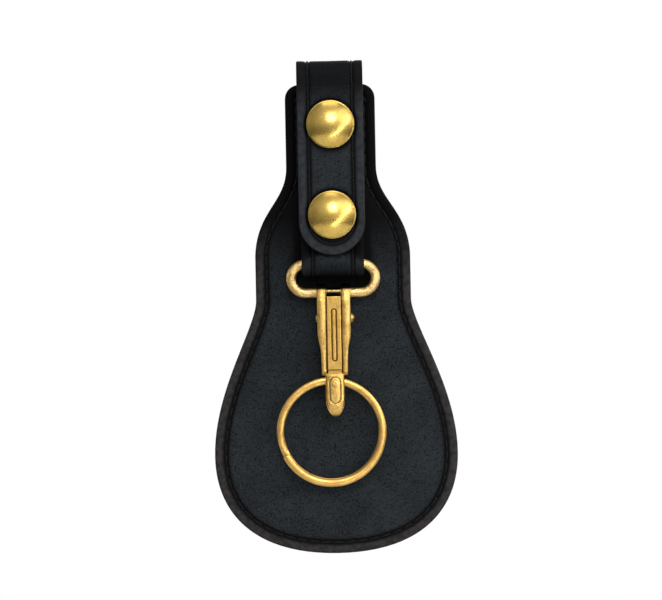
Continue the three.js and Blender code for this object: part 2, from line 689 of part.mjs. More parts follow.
/** The section's long side lies across the ring. */
function ringSection(across, along) {
  const shape = new THREE.Shape();
  shape.absellipse(0, 0, across / 2, along / 2, 0, 2 * Math.PI, false);
  return shape;
}

function splitRing() {
  return new THREE.ExtrudeGeometry(ringSection(RING_LEAF, RING_WIDTH), {
    steps: 88,
    curveSegments: 4,
    bevelEnabled: false,
    extrudePath: new RingLine(),
  });
}

// ---------- assembly ----------

const leather = () => new THREE.MeshStandardMaterial({ color: 0x2a2e31, roughness: 0.62, metalness: 0 });
const lining = () => new THREE.MeshStandardMaterial({ color: 0x1c1d1f, roughness: 0.8, metalness: 0 });
const thread = () => new THREE.MeshStandardMaterial({ color: 0x0b0b0c, roughness: 0.7, metalness: 0 });
const brass = () => new THREE.MeshStandardMaterial({ color: 0xc79a4b, roughness: 0.3, metalness: 1 });
const steel = () => new THREE.MeshStandardMaterial({ color: 0xb8b8b6, roughness: 0.35, metalness: 1 });

const holder = new THREE.Group();

function add(name, geometry, material) {
  const mesh = new THREE.Mesh(geometry, material);
  mesh.name = name;
  holder.add(mesh);
  return mesh;
}

add("flap_front", flapFront(), leather());
add("flap_back", flapBack(), leather());
add("flap_seam_front", flapSeam(true), thread());
add("flap_seam_back", flapSeam(false), thread());

add("strap_tab_outer", tabLayer("outer"), leather());
add("strap_tab_lining", tabLayer("lining"), lining());
add("strap_tab_seam", tabSeam(), thread());
add("strap_fold_outer", foldLayer("outer"), leather());
add("strap_fold_lining", foldLayer("lining"), lining());
add("strap_carrier_outer", carrierLayer("outer"), leather());
add("strap_carrier_lining", carrierLayer("lining"), lining());
add("strap_carrier_seam_left", carrierSeam(-1), thread());
add("strap_carrier_seam_right", carrierSeam(1), thread());

for (const [level, z] of Object.entries(snapZ)) {
  add(`snap_cap_${level}`, snapCap(), brass()).position.z = z;
  add(`snap_socket_${level}`, snapSocket(), brass()).position.z = z;
  add(`snap_spring_${level}`, snapSpring(), steel()).position.z = z;
  add(`snap_stud_${level}`, snapStud(), brass()).position.z = z;
  add(`snap_post_${level}`, snapPost(), brass()).position.z = z;
}

add("dee_loop", deeLoop(), brass());
add("hook_body", hookBody(), brass());
add("hook_gate", gate(), brass());
add("hook_gate_pin", gatePin(), brass());
add("hook_gate_spring", gateSpring(), steel());
add("split_ring", splitRing(), brass());

export default holder;
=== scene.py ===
"""Leather belt key holder: a studded strap, a snap hook with a split ring, and a stitched flap.

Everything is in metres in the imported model's frame: +Z up, the front faces -Y, and the origin is
the middle of the belt slot. Sizes and places come from the frame's boxes wherever a solid holds
them.
"""

import logging
import math
from dataclasses import asdict, dataclass, field
from enum import Enum
from typing import Callable, Iterable, Sequence

import bmesh
import bpy
import numpy as np
from mathutils import Matrix, Vector
from mathutils.geometry import delaunay_2d_cdt


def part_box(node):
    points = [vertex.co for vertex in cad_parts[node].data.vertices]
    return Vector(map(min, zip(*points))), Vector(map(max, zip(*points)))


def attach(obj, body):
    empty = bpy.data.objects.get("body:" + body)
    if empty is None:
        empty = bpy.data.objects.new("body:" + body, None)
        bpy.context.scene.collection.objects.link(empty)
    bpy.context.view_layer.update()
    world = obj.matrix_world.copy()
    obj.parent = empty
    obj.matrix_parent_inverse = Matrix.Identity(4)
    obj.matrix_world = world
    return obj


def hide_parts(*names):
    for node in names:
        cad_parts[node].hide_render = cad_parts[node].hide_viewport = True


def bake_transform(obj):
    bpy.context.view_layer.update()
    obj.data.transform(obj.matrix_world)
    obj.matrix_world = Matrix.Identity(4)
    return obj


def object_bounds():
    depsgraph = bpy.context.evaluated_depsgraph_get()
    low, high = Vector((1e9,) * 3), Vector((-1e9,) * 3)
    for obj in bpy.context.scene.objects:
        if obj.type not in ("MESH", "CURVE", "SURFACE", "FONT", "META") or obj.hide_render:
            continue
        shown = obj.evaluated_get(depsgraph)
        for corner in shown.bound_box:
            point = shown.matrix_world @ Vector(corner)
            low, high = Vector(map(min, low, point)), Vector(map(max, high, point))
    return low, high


MM = 0.001
LOG = logging.getLogger("key_holder")

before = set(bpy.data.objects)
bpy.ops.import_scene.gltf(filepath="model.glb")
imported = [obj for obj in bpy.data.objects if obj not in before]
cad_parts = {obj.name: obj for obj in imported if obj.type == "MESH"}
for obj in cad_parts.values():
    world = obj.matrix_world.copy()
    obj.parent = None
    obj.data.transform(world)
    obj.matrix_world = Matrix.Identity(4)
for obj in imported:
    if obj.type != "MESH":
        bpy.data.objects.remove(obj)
CAD_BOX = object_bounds()

Array = np.ndarray
Socket = bpy.types.NodeSocket
Colour = tuple[float, float, float, float]
Place = Callable[[Array, Array, Array], Array]
Circles = tuple[tuple[float, float, tuple[float, ...]], ...]


# ---------------------------------------------------------------- node helpers


class Nodes:
    """Adds nodes to a tree and links them by short calls."""

    def __init__(self, tree: bpy.types.NodeTree) -> None:
        """Keeps the tree that the nodes go to.

        Args:
            tree: A shader or geometry node tree.
        """
        self.tree = tree

    def add(self, kind: str, inputs: dict | None = None, **settings: object) -> bpy.types.Node:
        """Adds a node, sets its properties and fills its inputs.

        Args:
            kind: The node's type name.
            inputs: Values or output sockets for its input sockets, by name or index.
            **settings: Properties set on the node itself.

        Returns:
            The new node.
        """
        node = self.tree.nodes.new(kind)
        for key, value in settings.items():
            setattr(node, key, value)
        self.feed(node, inputs or {})
        return node

    def feed(self, node: bpy.types.Node, inputs: dict) -> None:
        """Links or sets a node's inputs.

        Args:
            node: The node that is fed.
            inputs: Values or output sockets for its input sockets, by name or index.
        """
        for key, value in inputs.items():
            socket = node.inputs[key]
            if isinstance(value, Socket):
                self.tree.links.new(value, socket)
            else:
                socket.default_value = value

    def attribute(self, name: str) -> Socket:
        """Reads a number that the mesh carries under a name."""
        return self.add("ShaderNodeAttribute", attribute_name=name).outputs["Fac"]

    def noise(self, place: Socket, scale: float, detail: float, **more: float) -> Socket:
        """Adds a noise texture.

        Args:
            place: The coordinates that it reads.
            scale: Its scale.
            detail: Its number of finer layers.
            **more: Values for its other inputs.

        Returns:
            Its value's socket.
        """
        inputs = {"Vector": place, "Scale": scale, "Detail": detail, **more}
        return self.add("ShaderNodeTexNoise", inputs).outputs[0]

    def bump(self, height: Socket, distance: float) -> Socket:
        """Turns a height into a bumped normal."""
        inputs = {"Strength": 1.0, "Distance": distance, "Height": height}
        return self.add("ShaderNodeBump", inputs).outputs[0]

    def math(self, operation: str, *values: object) -> Socket:
        """Adds a Math node, fills its inputs in order and returns its output."""
        return self.add("ShaderNodeMath", dict(enumerate(values)), operation=operation).outputs[0]

    def weighted(self, first: object, weight: float, second: object, other: float) -> Socket:
        """Adds two values, each times its weight."""
        return self.math("ADD", self.math("MULTIPLY", first, weight),
                         self.math("MULTIPLY", second, other))

    def span(self, value: object, low: float, high: float, to_low: float, to_high: float) -> Socket:
        """Maps a value from one range to another, clamped and smooth.

        Args:
            value: The socket that is mapped.
            low: Start of the range it comes from.
            high: End of the range it comes from.
            to_low: Result at the start.
            to_high: Result at the end.

        Returns:
            The result's socket.
        """
        inputs = {0: value, 1: low, 2: high, 3: to_low, 4: to_high}
        return self.add("ShaderNodeMapRange", inputs, interpolation_type="SMOOTHSTEP").outputs[0]

    def mix(self, share: object, first: object, second: object) -> Socket:
        """Mixes two colours.

        Args:
            share: How much of the second colour shows.
            first: A colour or a colour socket.
            second: A colour or a colour socket.

        Returns:
            The mixed colour's socket.
        """
        inputs = {0: share, 6: first, 7: second}
        return self.add("ShaderNodeMix", inputs, data_type="RGBA").outputs[2]


def rgba(red: float, green: float, blue: float) -> Colour:
    """A linear colour with full alpha from 0 to 255 screen values.

    Args:
        red: Screen red.
        green: Screen green.
        blue: Screen blue.

    Returns:
        Linear red, green, blue and alpha.
    """
    def linear(value: float) -> float:
        """One channel from the screen's curve to linear light."""
        share = value / 255
        return share / 12.92 if share <= 0.04045 else ((share + 0.055) / 1.055) ** 2.4

    return (linear(red), linear(green), linear(blue), 1.0)


def fresh_material(name: str) -> tuple[bpy.types.Material, Nodes, bpy.types.Node]:
    """A material with an empty tree that holds only a Principled shader and the output.

    Args:
        name: The material's name.

    Returns:
        The material, its node helper and its Principled node.
    """
    material = bpy.data.materials.new(name)
    material.use_nodes = True
    material.node_tree.nodes.clear()
    nodes = Nodes(material.node_tree)
    shader = nodes.add("ShaderNodeBsdfPrincipled")
    nodes.add("ShaderNodeOutputMaterial", {"Surface": shader.outputs[0]})
    return material, nodes, shader


# ---------------------------------------------------------------- finishes


@dataclass(frozen=True)
class LeatherFinish:
    """Dyed leather with a fine pebble, dark pores, a burnished rim, and painted shade where the mesh's
    dark value asks for it.
    """

    name: str
    field_colour: Colour
    deep_colour: Colour
    rim_colour: Colour
    rim_width_mm: float = 3.2
    rim_fade_mm: float = 0.5
    edge_colour: Colour = rgba(36, 31, 28)
    rubbed_colour: Colour = rgba(54, 59, 63)
    pebble_mm: float = 0.55
    pore_pitch_mm: float = 0.9
    pore_share: float = 0.9
    black: Colour = rgba(3, 3, 4)
    roughness: float = 0.7
    specular: float = 0.07
    bump_mm: float = 0.05

    def material(self) -> bpy.types.Material:
        """Builds the material on the flat pattern's own UV map, in units of 100 mm.

        Returns:
            The finished material.
        """
        material, nodes, shader = fresh_material(self.name)
        place = nodes.add("ShaderNodeUVMap", uv_map="flat").outputs[0]
        margin = nodes.attribute("margin_mm")
        pebble_scale = 100 / self.pebble_mm

        mottle = nodes.noise(place, 9.0, 4.0)
        cloud = nodes.noise(place, 55.0, 3.0)
        grain = nodes.noise(place, pebble_scale * 0.95, 5.0, Roughness=0.65)
        cells = {"Vector": place, "Scale": pebble_scale, "Randomness": 1.0}
        pebble = nodes.add("ShaderNodeTexVoronoi", cells, feature="SMOOTH_F1").outputs["Distance"]
        dots = nodes.add("ShaderNodeTexVoronoi", {**cells, "Scale": 100 / self.pore_pitch_mm})
        chosen = nodes.add("ShaderNodeSeparateXYZ", {0: dots.outputs["Color"]}).outputs[0]
        pores = nodes.math("MULTIPLY", nodes.span(dots.outputs["Distance"], 0.2, 0.42, 1.0, 0.0),
                           nodes.span(chosen, 0.0, 0.55, 0.0, 1.0))

        inside = nodes.span(margin, self.rim_width_mm - self.rim_fade_mm,
                            self.rim_width_mm + self.rim_fade_mm, 0.0, 1.0)
        tone = nodes.span(nodes.weighted(mottle, 0.6, cloud, 0.4), 0.35, 0.65, 0.0, 1.0)
        body = nodes.mix(tone, self.deep_colour, self.field_colour)
        body = nodes.mix(nodes.math("MULTIPLY", pores, self.pore_share), body, self.black)
        body = nodes.mix(nodes.span(grain, 0.44, 0.7, 0.0, 0.4), body, self.rubbed_colour)
        body = nodes.mix(nodes.span(grain, 0.34, 0.47, 0.55, 0.0), body, self.black)
        rim = nodes.mix(nodes.span(cloud, 0.4, 0.62, 0.0, 0.7), self.rim_colour, self.deep_colour)
        colour = nodes.mix(inside, rim, body)
        colour = nodes.mix(nodes.span(margin, 0.02, 0.3, 1.0, 0.0), colour, self.edge_colour)
        # Painted shade: black where the mesh's dark value is high, in seam grooves, round caps and where
        # other parts shade the leather.
        colour = nodes.mix(nodes.attribute("dark"), colour, self.black)

        height = nodes.weighted(pebble, -0.55, grain, 0.55)
        height = nodes.math("SUBTRACT", height, nodes.math("MULTIPLY", pores, 0.5))
        height = nodes.math("MULTIPLY", height, nodes.span(inside, 0.0, 1.0, 0.35, 1.0))
        roughness = nodes.math("ADD", nodes.math("MULTIPLY", grain, 0.16), self.roughness - 0.08)
        nodes.feed(shader, {"Base Color": colour, "Roughness": roughness,
                            "Normal": nodes.bump(height, self.bump_mm * MM),
                            "Specular IOR Level": self.specular})
        return material


@dataclass(frozen=True)
class ThreadFinish:
    """Waxed black thread, with its ply twist drawn along each stitch in bumps and in painted highlights.
    """

    name: str = "waxed_thread"
    colour: Colour = rgba(4, 4, 4)
    light_colour: Colour = rgba(27, 28, 30)
    roughness: float = 0.6
    specular: float = 0.15
    twists: float = 4.0
    bump_mm: float = 0.12

    def material(self) -> bpy.types.Material:
        """Builds the material on the stitches' own attributes.

        Returns:
            The finished material.
        """
        material, nodes, shader = fresh_material(self.name)
        along = nodes.math("MULTIPLY", nodes.attribute("thread_along"), self.twists)
        phase = nodes.math("ADD", along, nodes.attribute("thread_around"))
        wave = nodes.math("SINE", nodes.math("MULTIPLY", phase, math.tau))
        twist = nodes.math("ADD", nodes.math("MULTIPLY", wave, 0.5), 0.5)
        # Painted highlight on the crown of each ply.
        colour = nodes.mix(nodes.math("MULTIPLY", twist, 0.6), self.colour, self.light_colour)
        nodes.feed(shader, {"Base Color": colour, "Roughness": self.roughness,
                            "Normal": nodes.bump(twist, self.bump_mm * MM),
                            "Specular IOR Level": self.specular})
        return material


class Surface(Enum):
    """How a metal piece was left: polished, satin, as cast, or tumbled to a pebbled skin."""

    POLISHED = "polished"
    SATIN = "satin"
    CAST = "cast"
    PEBBLED = "pebbled"


@dataclass(frozen=True)
class Texture:
    """How strongly a surface's pits, specks and scratches show."""

    pits: float
    speck_height: float
    scratch_height: float


TEXTURES = {
    Surface.POLISHED: Texture(0.04, 0.005, 0.004),
    Surface.SATIN: Texture(0.16, 0.05, 0.016),
    Surface.CAST: Texture(0.24, 0.13, 0.012),
    Surface.PEBBLED: Texture(0.24, 0.26, 0.004),
}


@dataclass(frozen=True)
class MetalFinish:
    """Brass or steel with tarnish in its hollows, brighter worn edges, painted shade on faces that turn
    sideways and where a mesh marks it, and fine scratches.
    """

    name: str
    bright: Colour
    tarnish: Colour
    surface: Surface
    roughness: float = 0.3
    grime_colour: Colour = rgba(24, 18, 10)

    def material(self) -> bpy.types.Material:
        """Builds the material on Object coordinates.

        Returns:
            The finished material.
        """
        material, nodes, shader = fresh_material(self.name)
        texture = TEXTURES[self.surface]
        place = nodes.add("ShaderNodeTexCoord").outputs["Object"]
        cloud = nodes.noise(place, 260.0, 4.0)
        speck = nodes.noise(place, 1500.0, 3.0)
        turned_place = nodes.add("ShaderNodeMapping", {"Vector": place, "Rotation": (0.3, 0.7, 0.2),
                                                       "Scale": (200.0, 1400.0, 3800.0)}).outputs[0]
        scratch = nodes.noise(turned_place, 1.0, 2.0)

        # Tarnish from random clouds and from the mesh's wear value, which holds both wear and painted
        # shade on faces that turn sideways.
        dull = nodes.math("ADD", nodes.span(cloud, 0.42, 0.7, 0.0, 0.35),
                          nodes.span(nodes.attribute("wear_and_shade"), 0.0, 0.5, 1.0, 0.0))
        colour = nodes.mix(nodes.math("MINIMUM", dull, 1.0), self.bright, self.tarnish)
        # Dark pits in the surface, then painted shade where the mesh asks for it.
        for share in (nodes.span(speck, 0.36, 0.5, texture.pits, 0.0), nodes.attribute("metal_shade")):
            colour = nodes.mix(share, colour, self.grime_colour)
        height = nodes.weighted(speck, texture.speck_height, scratch, texture.scratch_height)
        roughness = nodes.math("ADD", nodes.math("MULTIPLY", cloud, 0.22), self.roughness - 0.11)
        roughness = nodes.math("ADD", roughness, nodes.span(scratch, 0.55, 0.75, 0.0, 0.1))
        nodes.feed(shader, {"Base Color": colour, "Roughness": roughness,
                            "Normal": nodes.bump(height, MM), "Metallic": 1.0})
        return material


class Slot(Enum):
    """The record's material slots."""

    FLAP = "flap_leather"
    BACKING = "flap_backing"
    STRAP = "strap_leather"
    LINING = "strap_lining"
    THREAD = "thread"
    SNAP = "snap_brass"
    DEE = "dee_brass"
    HOOK = "hook_brass"
    GATE = "gate_brass"
    RING = "ring_brass"
    SPRING = "spring_steel"


FINISHES: dict[Slot, LeatherFinish | ThreadFinish | MetalFinish] = {
    Slot.FLAP: LeatherFinish("flap_leather", rgba(34, 39, 42), rgba(25, 28, 31), rgba(50, 46, 46)),
    Slot.BACKING: LeatherFinish("flap_backing", rgba(36, 37, 39), rgba(27, 28, 29), rgba(38, 36, 35),
                                pebble_mm=0.8, pore_share=0.3, roughness=0.76),
    Slot.STRAP: LeatherFinish("strap_leather", rgba(35, 40, 44), rgba(27, 31, 34), rgba(44, 46, 49),
                              rim_width_mm=2.4, rim_fade_mm=0.7, pebble_mm=0.5, roughness=0.6),
    Slot.LINING: LeatherFinish("strap_lining", rgba(32, 33, 35), rgba(22, 23, 24), rgba(26, 26, 27),
                               rim_width_mm=0.6, rim_fade_mm=0.3, pebble_mm=0.35, pore_share=0.2,
                               roughness=0.74),
    Slot.THREAD: ThreadFinish(),
    Slot.SNAP: MetalFinish("snap_brass", rgba(225, 190, 101), rgba(152, 112, 38),
                           Surface.POLISHED, 0.27),
    Slot.DEE: MetalFinish("dee_brass", rgba(226, 194, 130), rgba(140, 104, 54),
                          Surface.PEBBLED, 0.38),
    Slot.HOOK: MetalFinish("hook_brass", rgba(220, 180, 102), rgba(104, 70, 26),
                           Surface.CAST, 0.37),
    Slot.GATE: MetalFinish("gate_brass", rgba(214, 172, 94), rgba(110, 76, 30),
                           Surface.SATIN, 0.36),
    Slot.RING: MetalFinish("ring_brass", rgba(222, 178, 100), rgba(128, 88, 36),
                           Surface.SATIN, 0.34),
    Slot.SPRING: MetalFinish("spring_steel", rgba(190, 190, 188), rgba(120, 120, 122),
                             Surface.SATIN, 0.3),
}


class Wardrobe:
    """Makes each slot's material once and dresses the pieces with it."""

    def __init__(self) -> None:
        """Starts with no material made."""
        self.made: dict[Slot, bpy.types.Material] = {}

    def material(self, slot: Slot) -> bpy.types.Material:
        """The slot's material, made on first use.

        Args:
            slot: The record's slot.

        Returns:
            Its material.
        """
        if slot not in self.made:
            self.made[slot] = FINISHES[slot].material()
        return self.made[slot]

    def dress(self, piece: bpy.types.Object, slot: Slot, body: str,
              *nodes: str) -> bpy.types.Object:
        """Gives a piece its slot's material and its body, and hides the CAD nodes that it stands for.

        Args:
            piece: The finished object.
            slot: The record's slot.
            body: The body that it rides on, or an empty name for a piece that is attached to no body.
            *nodes: CAD nodes that it replaces.

        Returns:
            The same object.
        """
        piece.data.materials.clear()
        piece.data.materials.append(self.material(slot))
        if nodes:
            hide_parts(*nodes)
        if body:
            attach(piece, body)
        LOG.info("%s: %d faces", piece.name, len(piece.data.polygons))
        return piece


# ---------------------------------------------------------------- mesh helpers


def linked(name: str, data: bpy.types.ID) -> bpy.types.Object:
    """Makes an object at the origin and links it to the scene.

    Args:
        name: The object's name.
        data: What it holds: a mesh, a lamp or a camera.

    Returns:
        The new object.
    """
    piece = bpy.data.objects.new(name, data)
    bpy.context.scene.collection.objects.link(piece)
    return piece


def mesh_object(name: str, points: Iterable[Sequence[float]],
                faces: Iterable[Sequence[int]]) -> bpy.types.Object:
    """A smooth-shaded mesh object at the origin.

    Args:
        name: The piece's name.
        points: Vertex places in metres.
        faces: Vertex numbers of each face, anticlockwise seen from outside.

    Returns:
        The linked object.
    """
    mesh = bpy.data.meshes.new(name)
    mesh.from_pydata([tuple(p) for p in points], [], [tuple(f) for f in faces])
    mesh.validate()
    mesh.shade_smooth()
    return linked(name, mesh)


def point_values(piece: bpy.types.Object, name: str, values: Array) -> None:
    """Stores one number for each vertex.

    Args:
        piece: The mesh object.
        name: The attribute's name.
        values: One number for each vertex.
    """
    layer = piece.data.attributes.new(name, "FLOAT", "POINT")
    layer.data.foreach_set("value", np.asarray(values, dtype=np.float32))


def vertex_rows(piece: bpy.types.Object, field_name: str = "co") -> Array:
    """The places of a mesh's vertices, or another vector that each vertex has.

    Args:
        piece: The mesh object.
        field_name: The vector's name: co or normal.

    Returns:
        One row for each vertex.
    """
    rows = np.empty(len(piece.data.vertices) * 3)
    piece.data.vertices.foreach_get(field_name, rows)
    return rows.reshape(-1, 3)


def face_out(piece: bpy.types.Object) -> None:
    """Merges doubles and turns every face of a closed mesh outwards.

    Args:
        piece: The mesh object.
    """
    shell = bmesh.new()
    shell.from_mesh(piece.data)
    bmesh.ops.remove_doubles(shell, verts=shell.verts, dist=1e-7)
    bmesh.ops.recalc_face_normals(shell, faces=shell.faces)
    shell.to_mesh(piece.data)
    shell.free()


def apply_modifiers(piece: bpy.types.Object) -> None:
    """Turns the evaluated object into a plain mesh and clears its modifiers.

    Args:
        piece: The object whose modifiers are done.
    """
    graph = bpy.context.evaluated_depsgraph_get()
    mesh = bpy.data.meshes.new_from_object(piece.evaluated_get(graph), depsgraph=graph)
    mesh.name = piece.name
    piece.modifiers.clear()
    piece.data = mesh


def edge_distance(points: Array, outline: Array) -> Array:
    """Shortest way from each point to a closed outline.

    Args:
        points: Flat places, one row each.
        outline: The outline's corners, one row each.

    Returns:
        One distance for each point.
    """
    start = outline
    step = np.roll(outline, -1, axis=0) - start
    length = np.maximum((step ** 2).sum(axis=1), 1e-18)
    best = np.full(len(points), np.inf)
    for a, s, squared in zip(start, step, length):
        share = np.clip(((points - a) @ s) / squared, 0, 1)
        gap = points - a - share[:, None] * s
        best = np.minimum(best, (gap ** 2).sum(axis=1))
    return np.sqrt(best)


def inward(outline: Array, inset: float) -> Array:
    """Moves a closed anticlockwise outline inwards along its corner normals.

    Args:
        outline: The outline's corners, one row each.
        inset: How far it moves.

    Returns:
        The moved corners.
    """
    before = outline - np.roll(outline, 1, axis=0)
    after = np.roll(outline, -1, axis=0) - outline
    before /= np.maximum(np.linalg.norm(before, axis=1), 1e-12)[:, None]
    after /= np.maximum(np.linalg.norm(after, axis=1), 1e-12)[:, None]
    mitre = np.stack([-(before[:, 1] + after[:, 1]), before[:, 0] + after[:, 0]], axis=1)
    mitre /= np.linalg.norm(mitre, axis=1)[:, None]
    return outline + inset * mitre


def running_length(line: Array) -> Array:
    """How far along a line each of its points lies."""
    return np.concatenate([[0], np.cumsum(np.linalg.norm(np.diff(line, axis=0), axis=1))])


def evened(outline: Array, spacing: float, closed: bool = True) -> Array:
    """Spaces points evenly along a line.

    Args:
        outline: The line's corners, one row each.
        spacing: The wanted distance from point to point.
        closed: Whether the line runs back to its start.

    Returns:
        The new points.
    """
    line = np.vstack([outline, outline[:1]]) if closed else outline
    run = running_length(line)
    count = max(int(round(run[-1] / spacing)), 3)
    stops = np.linspace(0, run[-1], count if closed else count + 1, endpoint=not closed)
    return np.stack([np.interp(stops, run, line[:, i]) for i in range(line.shape[1])], axis=1)


def arc(centre: tuple[float, float], radius: float, start: float, end: float, count: int) -> Array:
    """Points on a circle's arc.

    Args:
        centre: The circle's centre.
        radius: The circle's radius.
        start: First angle in degrees.
        end: Last angle in degrees.
        count: How many points.

    Returns:
        The points, one row each.
    """
    angle = np.radians(np.linspace(start, end, count))
    x, y = centre
    return np.stack([x + radius * np.cos(angle), y + radius * np.sin(angle)], axis=1)


def bezier(*handles: tuple[float, float]) -> Array:
    """Points on a cubic curve.

    Args:
        *handles: The curve's start, its two handles and its end.

    Returns:
        The points, one row each.
    """
    t = np.linspace(0, 1, 24)[:, None]
    a, b, c, d = (np.array(handle) for handle in handles)
    return (1 - t) ** 3 * a + 3 * (1 - t) ** 2 * t * b + 3 * (1 - t) * t ** 2 * c + t ** 3 * d


def standing(flat: Array, y: float) -> Array:
    """Stands a flat line up: its X and Z are kept and Y is added."""
    return np.stack([flat[:, 0], np.full(len(flat), y), flat[:, 1]], axis=1)


def ramp(past: Array, reach: float) -> Array:
    """A share that climbs from 0 to 1 over a reach."""
    return np.clip(past / reach, 0, 1)


def bell(off: Array, width: float, power: int = 2) -> Array:
    """A share that is 1 in the middle and falls off at a width, squarer for a higher power."""
    return np.exp(-((off / width) ** power))


def half_width(node: str) -> float:
    """Half the width of a node's box, along X."""
    low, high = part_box(node)
    return (high[0] - low[0]) / 2


def middle(node: str) -> Vector:
    """The middle of a node's box."""
    low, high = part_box(node)
    return (Vector(low) + Vector(high)) / 2


@dataclass(frozen=True)
class Waves:
    """Gentle unevenness, as a sum of a few slanted waves."""

    size: float
    height: float
    seed: int
    count: int = 7

    def rise(self, u: Array, v: Array) -> Array:
        """The rise at flat places.

        Args:
            u: Places across.
            v: Places along.

        Returns:
            The rise at each place, at most the height.
        """
        pick = np.random.default_rng(self.seed)
        total = np.zeros_like(u)
        for _ in range(self.count):
            heading = pick.uniform(0, math.tau)
            number = math.tau / (self.size * pick.uniform(0.7, 1.5))
            phase = pick.uniform(0, math.tau)
            total += np.sin(number * (u * math.cos(heading) + v * math.sin(heading)) + phase)
        return self.height * total / self.count


# ---------------------------------------------------------------- leather


@dataclass(frozen=True)
class Flat:
    """Places on a flat pattern: across, along, and the distance from the rim."""

    u: Array
    v: Array
    gap: Array


Relief = Callable[[Flat], Array]


@dataclass
class LeatherPly:
    """One cut ply of leather: a flat outline with rounded rims, placed by a function of its own."""

    name: str
    outline: Array
    bottom: float
    top: float
    place: Place
    step: tuple[float, float] = (0.9 * MM, 0.9 * MM)
    top_rim: float = 0.5 * MM
    bottom_rim: float = 0.15 * MM
    groove_inset: float = 3.5 * MM
    groove_width: float = 0.55 * MM
    top_relief: Relief | None = None
    # Painted shade: how black each place of the outside is painted, from 0 to 1.
    dye: Relief | None = None
    rings: Circles = ()

    def flat_points(self) -> Array:
        """Points inside the outline: rows along rim and seam, and an even field between them.

        Returns:
            The points, one row each.
        """
        rim_steps = self.top_rim * (1 - np.cos(np.radians((14, 30, 48, 68, 90))))
        seam_steps = self.groove_inset + self.groove_width * np.linspace(-1.6, 1.6, 7)
        rows = []
        for inset in (*rim_steps, *seam_steps):
            row = inward(self.outline, inset)
            gap = edge_distance(row, self.outline)
            rows.append(row[np.abs(gap - inset) < 0.12 * inset])
        low = self.outline.min(axis=0)
        high = self.outline.max(axis=0)
        across = np.arange(low[0] + self.step[0] / 2, high[0], self.step[0])
        along = np.arange(low[1] + self.step[1] / 2, high[1], self.step[1])
        grid = np.stack(np.meshgrid(across, along), axis=-1).reshape(-1, 2)
        gap = edge_distance(grid, self.outline)
        clear = np.abs(gap - self.groove_inset) > 1.6 * self.groove_width + 0.25 * self.step[0]
        for u, v, radii in self.rings:
            circles = np.vstack([arc((u, v), radius, 0, 360, 97)[:-1] for radius in radii])
            within = self.inside(circles) & (edge_distance(circles, self.outline) > self.top_rim)
            rows.append(circles[within])
            far = np.hypot(grid[:, 0] - u, grid[:, 1] - v)
            clear &= (far < min(radii) - 0.2 * MM) | (far > max(radii) + 0.2 * MM)
        rows.append(grid[(gap > self.top_rim * 1.4) & clear & self.inside(grid)])
        return np.vstack(rows)

    def inside(self, points: Array) -> Array:
        """Which points lie inside the outline.

        Args:
            points: Flat places, one row each.

        Returns:
            True for each point inside.
        """
        x, y = points[:, 0], points[:, 1]
        result = np.zeros(len(points), dtype=bool)
        ahead = np.roll(self.outline, -1, axis=0)
        for (x0, y0), (x1, y1) in zip(self.outline, ahead):
            if y0 == y1:
                continue
            crosses = ((y0 > y) != (y1 > y)) & (x < (x1 - x0) * (y - y0) / (y1 - y0) + x0)
            result ^= crosses
        return result

    def build(self) -> bpy.types.Object:
        """Builds the closed ply with its flat UV map and its distance from the rim.

        Returns:
            The ply's object.
        """
        coords = [Vector(p) for p in np.vstack([self.outline, self.flat_points()])]
        flat, _, faces, *_ = delaunay_2d_cdt(coords, [], [list(range(len(self.outline)))], 1, 1e-8)
        flat = np.array([tuple(p) for p in flat])
        count = len(flat)
        at = Flat(flat[:, 0], flat[:, 1], edge_distance(flat, self.outline))

        top = self.top - self.rim_drop(at.gap, self.top_rim)
        bottom = self.bottom + self.rim_drop(at.gap, self.bottom_rim)
        if self.top_relief:
            top = top + self.top_relief(at)
        points = np.vstack([self.place(at.u, at.v, top), self.place(at.u, at.v, bottom)])

        sides = dict.fromkeys(side for face in faces for side in zip(face, (*face[1:], face[0])))
        border = [(a, b) for a, b in sides if (b, a) not in sides]
        shell = [tuple(f) for f in faces]
        shell += [tuple(count + i for i in reversed(f)) for f in faces]
        shell += [(b, a, count + a, count + b) for a, b in border]
        piece = mesh_object(self.name, points, shell)
        face_out(piece)
        # Painted shade goes on the outside face only.
        tone = self.dye(at) if self.dye else np.zeros(count)
        self.store_flat(piece, points, np.tile(flat, (2, 1)), np.tile(at.gap, 2),
                        np.concatenate([tone, 0 * tone]))
        return piece

    @staticmethod
    def rim_drop(gap: Array, radius: float) -> Array:
        """How far a rounded rim falls away, close to the edge.

        Args:
            gap: Distance from the edge.
            radius: The rim's radius.

        Returns:
            The drop at each place.
        """
        short = np.clip(radius - gap, 0, radius)
        return radius - np.sqrt(radius ** 2 - short ** 2)

    @staticmethod
    def store_flat(piece: bpy.types.Object, points: Array, flat: Array, gap: Array,
                   tone: Array) -> None:
        """Stores the flat pattern as a UV map in units of 100 mm, with rim distance and painted shade.

        Args:
            piece: The ply's object.
            points: The places that the vertices were built from.
            flat: The flat place of each of those.
            gap: The distance from the rim of each of those.
            tone: How black each of those is painted, as painted shade.
        """
        mesh = piece.data
        places = vertex_rows(piece)
        stored = points.astype(np.float32).astype(float)
        lookup = {tuple(np.round(place, 8)): i for i, place in enumerate(stored)}
        match = [lookup.get(tuple(np.round(place, 8)), -1) for place in places]
        if -1 in match:
            raise ValueError(f"{piece.name}: a vertex has no flat place")
        layer = mesh.uv_layers.new(name="flat")
        corners = np.empty(len(mesh.loops), dtype=np.int32)
        mesh.loops.foreach_get("vertex_index", corners)
        layer.data.foreach_set("uv", (flat[match] / 0.1)[corners].astype(np.float32).ravel())
        point_values(piece, "margin_mm", gap[match] / MM)
        point_values(piece, "dark", np.clip(tone[match], 0, 1))


